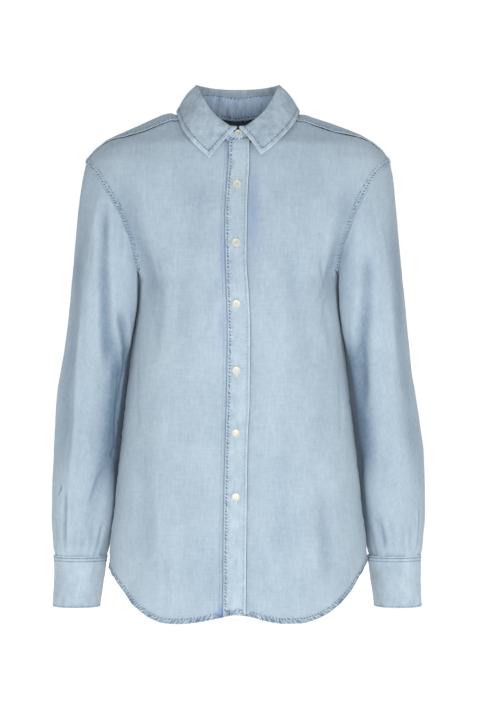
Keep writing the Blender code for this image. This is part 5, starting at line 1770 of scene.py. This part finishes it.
# Yarns, with thick and thin places, and the wash: where each is read, how often it changes, detail, roughness
YARNS = {
    "warp": ("UV", (1500, 60, 1), 2.0, 0.6),
    "streak": ("UV", (520, 26, 1), 2.0, 0.6),
    "weft": ("UV", (80, 1300, 1), 2.0, 0.6),
    "crosswise": ("UV", (42, 420, 1), 2.0, 0.6),
    "slub": ("UV", (330, 140, 1), 3.0, 0.6),
    "speckle": ("Object", (900, 900, 900), 1.0, 0.5),
    "patch": ("Object", (120, 120, 90), 3.0, 0.6),
    "cloud": ("Object", (26, 26, 18), 3.0, 0.55),
    "wide": ("Object", (7, 7, 5), 2.0, 0.5),
    "blot": ("Object", (105, 105, 60), 2.0, 0.6),
    "drawn": ("UV", (150, 32, 1), 3.0, 0.6),
}
# How much each layer of the finish lightens the cloth; the layers of folds, stitch grooves, puckers, drags and tucked
# seams are painted shade, and lit is a painted highlight
LIGHTENS = {
    "warp": 0.22, "streak": 0.2, "weft": 0.16, "crosswise": 0.2, "slub": 0.22, "speckle": 0.12, "patch": 0.18,
    "cloud": 0.26, "wide": 0.2, "blot": 0.9, "drawn": 1.0, "dye": -0.03, "worn": 0.3, "lit": 0.16, "sunk": -0.4,
    "pucker": -1.05, "dragged": -0.22, "seam": -0.7, "roping": 0.5, "roped": -0.2,
}
# And how much it raises it
RAISES = {
    "warp": 0.14, "streak": 0.12, "weft": 0.12, "slub": 0.14, "speckle": 0.04, "patch": 0.25, "blot": 0.5,
    "drawn": 0.8, "sunk": -0.3, "pucker": -0.7, "lit": 0.2, "dragged": -0.35, "roping": 0.4,
}
EVEN_SHADE = 0.6
PUCKER_PITCH = 4.6  # of the puckers along the first stitch row; along the second it is twice that
ROPED_AT, ROPED_WIDTH = 2.6, 4.4  # the hem's band that is roped, from its edge
COTTON = {"Roughness": 0.92, "Sheen Weight": 0.1, "Sheen Roughness": 0.6, "Specular IOR Level": 0.2}


def denim(name, pale=0.0, blotch=0.0, patches=(), drawn=0.0, colours=WASHED):
    """Washed denim: white and blue yarns, paler at edges, and painted darker and bluer as painted shade in folds,
    stitch grooves, puckers and along tucked seams.
    """
    material, start, surface = new_material(name, COTTON)
    places = start.node("TexCoord").outputs
    here = Wire(start.tree, places["Object"])
    layers = {}
    for key, (place, often, detail, roughness) in YARNS.items():
        at = start.out("Mapping", None, {"Vector": Wire(start.tree, places[place]), "Scale": often})
        layers[key] = at.noise(detail=detail, Roughness=roughness) - 0.5
    along, edge, first_row, second_row, tuck, pull, line, rope, fold = (
        start.out("Attribute", {"attribute_name": key}, output=2) for key in READ_MARKS
    )
    # stitch rows: a groove, and puckers that pull in beside it, raised and sunk and also painted darker as painted
    # shade, with a painted highlight on the puffs between the puckers and painted shade in the drag creases
    loose = (along / 9.0).noise(dimensions="1D")
    turn = 2 * math.pi / PUCKER_PITCH
    bead = ((along + first_row * 0.7) * turn + loose * 7.0).math("SINE").step(-0.1, 0.6)
    bead_2 = (along * (turn / 2) + loose * 15.0 + 1.0).math("SINE").step(0.5, 0.95)
    drag = start.out("CombineXYZ", None, {0: along / 1.9, 1: first_row / 9.0}).noise(dimensions="2D").step(0.52, 0.68)
    twist = start.out("CombineXYZ", None, {0: (along + edge * 0.9) / 1.5, 1: edge / 9.0}).noise(dimensions="2D")
    roped = rope * (edge - ROPED_AT).bump(ROPED_WIDTH)
    layers.update({
        "sunk": (first_row.bump(1.1) + second_row.bump(1.1) * 0.9) * line,
        "pucker": (bead * (first_row - 0.6).bump(1.9) + bead_2 * (second_row + 0.2).bump(1.6) * 0.42) * pull,
        "lit": (1 - bead) * (first_row - 0.6).bump(2.6) * pull,
        "dragged": drag * (first_row - 1.5).bump(6.0) * pull,
        # painted shadow: a dark line where the cloth goes under another piece
        "seam": tuck.bump(1.5),
        "worn": edge.bump(1.7),
        # painted shade: darker where the fold mark is deep, a little lighter on the folds' lips
        "dye": fold.clamped(-3.0, 15.0),
        "roped": roped,
        "roping": ((twist - 0.52) * 9.0).clamped(-1.0, 1.0) * roped,
    })
    amounts = {"blot": blotch, "drawn": drawn}
    shade, height = (
        sum(layers[key] * (weight * amounts.get(key, 1.0)) for key, weight in weights.items())
        for weights in (LIGHTENS, RAISES)
    )
    colour = (shade + (EVEN_SHADE + pale)).clamped(0.02, 1.0).between(*colours)
    x, y, z = (Wire(start.tree, output) for output in start.node("SeparateXYZ", None, {"Vector": here}).outputs)
    # bluer in the given patches, and a little bluer along tucked seams as part of their painted shadow line
    kept_blue_and_shadow = tuck.bump(2.0) * 0.1
    for middle, wide, high, tall, amount in patches:
        near = (x - middle * MM).bump(wide * MM) * (z - high * MM).bump(tall * MM)
        kept_blue_and_shadow = near * ((0.9 + layers["cloud"] * 1.6) * amount) * (0 - y).step(0.0, 0.02) + kept_blue_and_shadow
    kept_blue_and_shadow.clamped().between(colour, PATCH_AND_SHADOW_BLUE).into(surface, "Base Color")
    height.relief(0.001, 1.0).into(surface, "Normal")
    return material


def shell_button():
    """Cream buttons with a cloudy sheen."""
    material, start, surface = new_material("cream_button", {"Roughness": 0.28, "Coat Weight": 0.3})
    cloud = start.out("TexCoord", output=3).noise(260.0, 3.0) - 0.5
    shade = (0.5 + cloud * 1.3).clamped()
    shade.between((0.52, 0.53, 0.46, 1), (0.74, 0.75, 0.69, 1)).into(surface, "Base Color")
    return material


def sewing_thread(name, dark, light):
    """Cotton thread, twisted."""
    material, start, surface = new_material(name, {"Roughness": 0.75})
    fibres = start.out("TexCoord", output=3).noise(900.0, 2.0)
    fibres.step(0.3, 0.7).between(dark, light).into(surface, "Base Color")
    fibres.relief(0.0002, 0.6).into(surface, "Normal")
    return material


# --- Stage


# In metres
FLOOR_Z = -0.8
FLOOR_RADIUS = 2.6
FLOOR_PAINT = {
    "Base Color": (0.35, 0.35, 0.35, 1), "Roughness": 0.9, "Specular IOR Level": 0.1,
    "Emission Color": (1, 1, 1, 1), "Emission Strength": 0.93,
}
ROOM_LOW, ROOM_HIGH = (0.31, 0.335, 0.36, 1), (0.56, 0.58, 0.6, 1)
BACKDROP = (1.02, 1.02, 1.02, 1)
# Place, width and power of each lamp, turned to a point
LAMPS = {
    "key": ((0.02, -2.4, -0.82), 1.2, 50),
    "back": ((-0.7, 2.6, 0.5), 1.4, 12),
    "fill": ((1.7, -2.7, 0.2), 1.4, 7.5),
}
LIT_POINT = (0, 0, -0.35)
CAMERA_PLACE = (0.0028, -4.0, -0.3458)
CAMERA_VIEW = 1.008  # the larger side of the view, at the shirt
SENSOR_WIDTH = 36


def stage():
    """A pale floor, soft light and the camera."""
    bpy.ops.mesh.primitive_circle_add(vertices=96, radius=FLOOR_RADIUS, fill_type="NGON", location=(0, 0, FLOOR_Z))
    floor = bpy.context.object
    floor.name = "floor"
    floor.data.materials.append(new_material("floor_paint", FLOOR_PAINT)[0])

    world = bpy.data.worlds.new("studio")
    bpy.context.scene.world = world
    world.use_nodes = True
    tree = world.node_tree
    start = Wire(tree, None)
    split = start.node("SeparateXYZ", None, {"Vector": start.out("TexCoord", output=0)})
    behind = Wire(tree, split.outputs[1]).step(0.93, 0.97)
    above = Wire(tree, split.outputs[2]).step(-0.1, 0.7)
    behind.between(above.between(ROOM_LOW, ROOM_HIGH), BACKDROP).into(tree.nodes["Background"], "Color")
    tree.nodes["Background"].inputs["Strength"].default_value = 1.0

    for name, (place, size, power) in LAMPS.items():
        bpy.ops.object.light_add(type="AREA", location=place)
        light = bpy.context.object
        light.name = name
        light.data.shape = "DISK"
        light.data.size = size
        light.data.energy = power
        light.rotation_euler = (Vector(LIT_POINT) - Vector(place)).to_track_quat("-Z", "Y").to_euler()

    bpy.ops.object.camera_add(location=CAMERA_PLACE, rotation=(math.pi / 2, 0, 0))
    camera = bpy.context.object
    camera.data.sensor_width = SENSOR_WIDTH
    camera.data.lens = SENSOR_WIDTH * -CAMERA_PLACE[1] / CAMERA_VIEW
    bpy.context.scene.camera = camera
    bpy.context.scene.view_settings.view_transform = "Standard"


def dress():
    """Every piece of the shirt."""
    back()
    yoke()
    for side in SIDES:
        front(side)
        sleeve(side)
        sleeve_strip(side)
        cuff(side)
    placket()
    stand()
    leaf()
    buttons()
    buttonholes()


finishes = {
    "outside": denim("denim_one_layer", patches=BLUE_PATCHES),
    # painted shade: the inside of the cloth is dark navy, standing in for the shade inside the shirt
    "inside": denim("denim_inside_shaded", -0.35, colours=((0.035, 0.045, 0.08, 1), (0.34, 0.4, 0.48, 1))),
    "doubled": denim("denim_doubled", 0.05, 0.4),
    "collar": denim("denim_collar", 0.0, 0.8),
    # painted light: the stand is paler and bluer than the other cloth, standing in for light bounced onto it inside
    # the collar
    "stand": denim("denim_stand_bounce_lit", 0.32, 0.9, drawn=1.2, colours=((0.08, 0.15, 0.3, 1), (0.62, 0.79, 0.96, 1))),
    "thread": sewing_thread("blue_thread", (0.3, 0.4, 0.52, 1), (0.5, 0.6, 0.7, 1)),
    "hole_thread": sewing_thread("pale_thread", (0.58, 0.62, 0.6, 1), (0.78, 0.81, 0.77, 1)),
    "button": shell_button(),
    "button_thread": sewing_thread("cream_thread", (0.52, 0.5, 0.42, 1), (0.72, 0.71, 0.62, 1)),
}
stage()
dress()
bpy.context.view_layer.update()
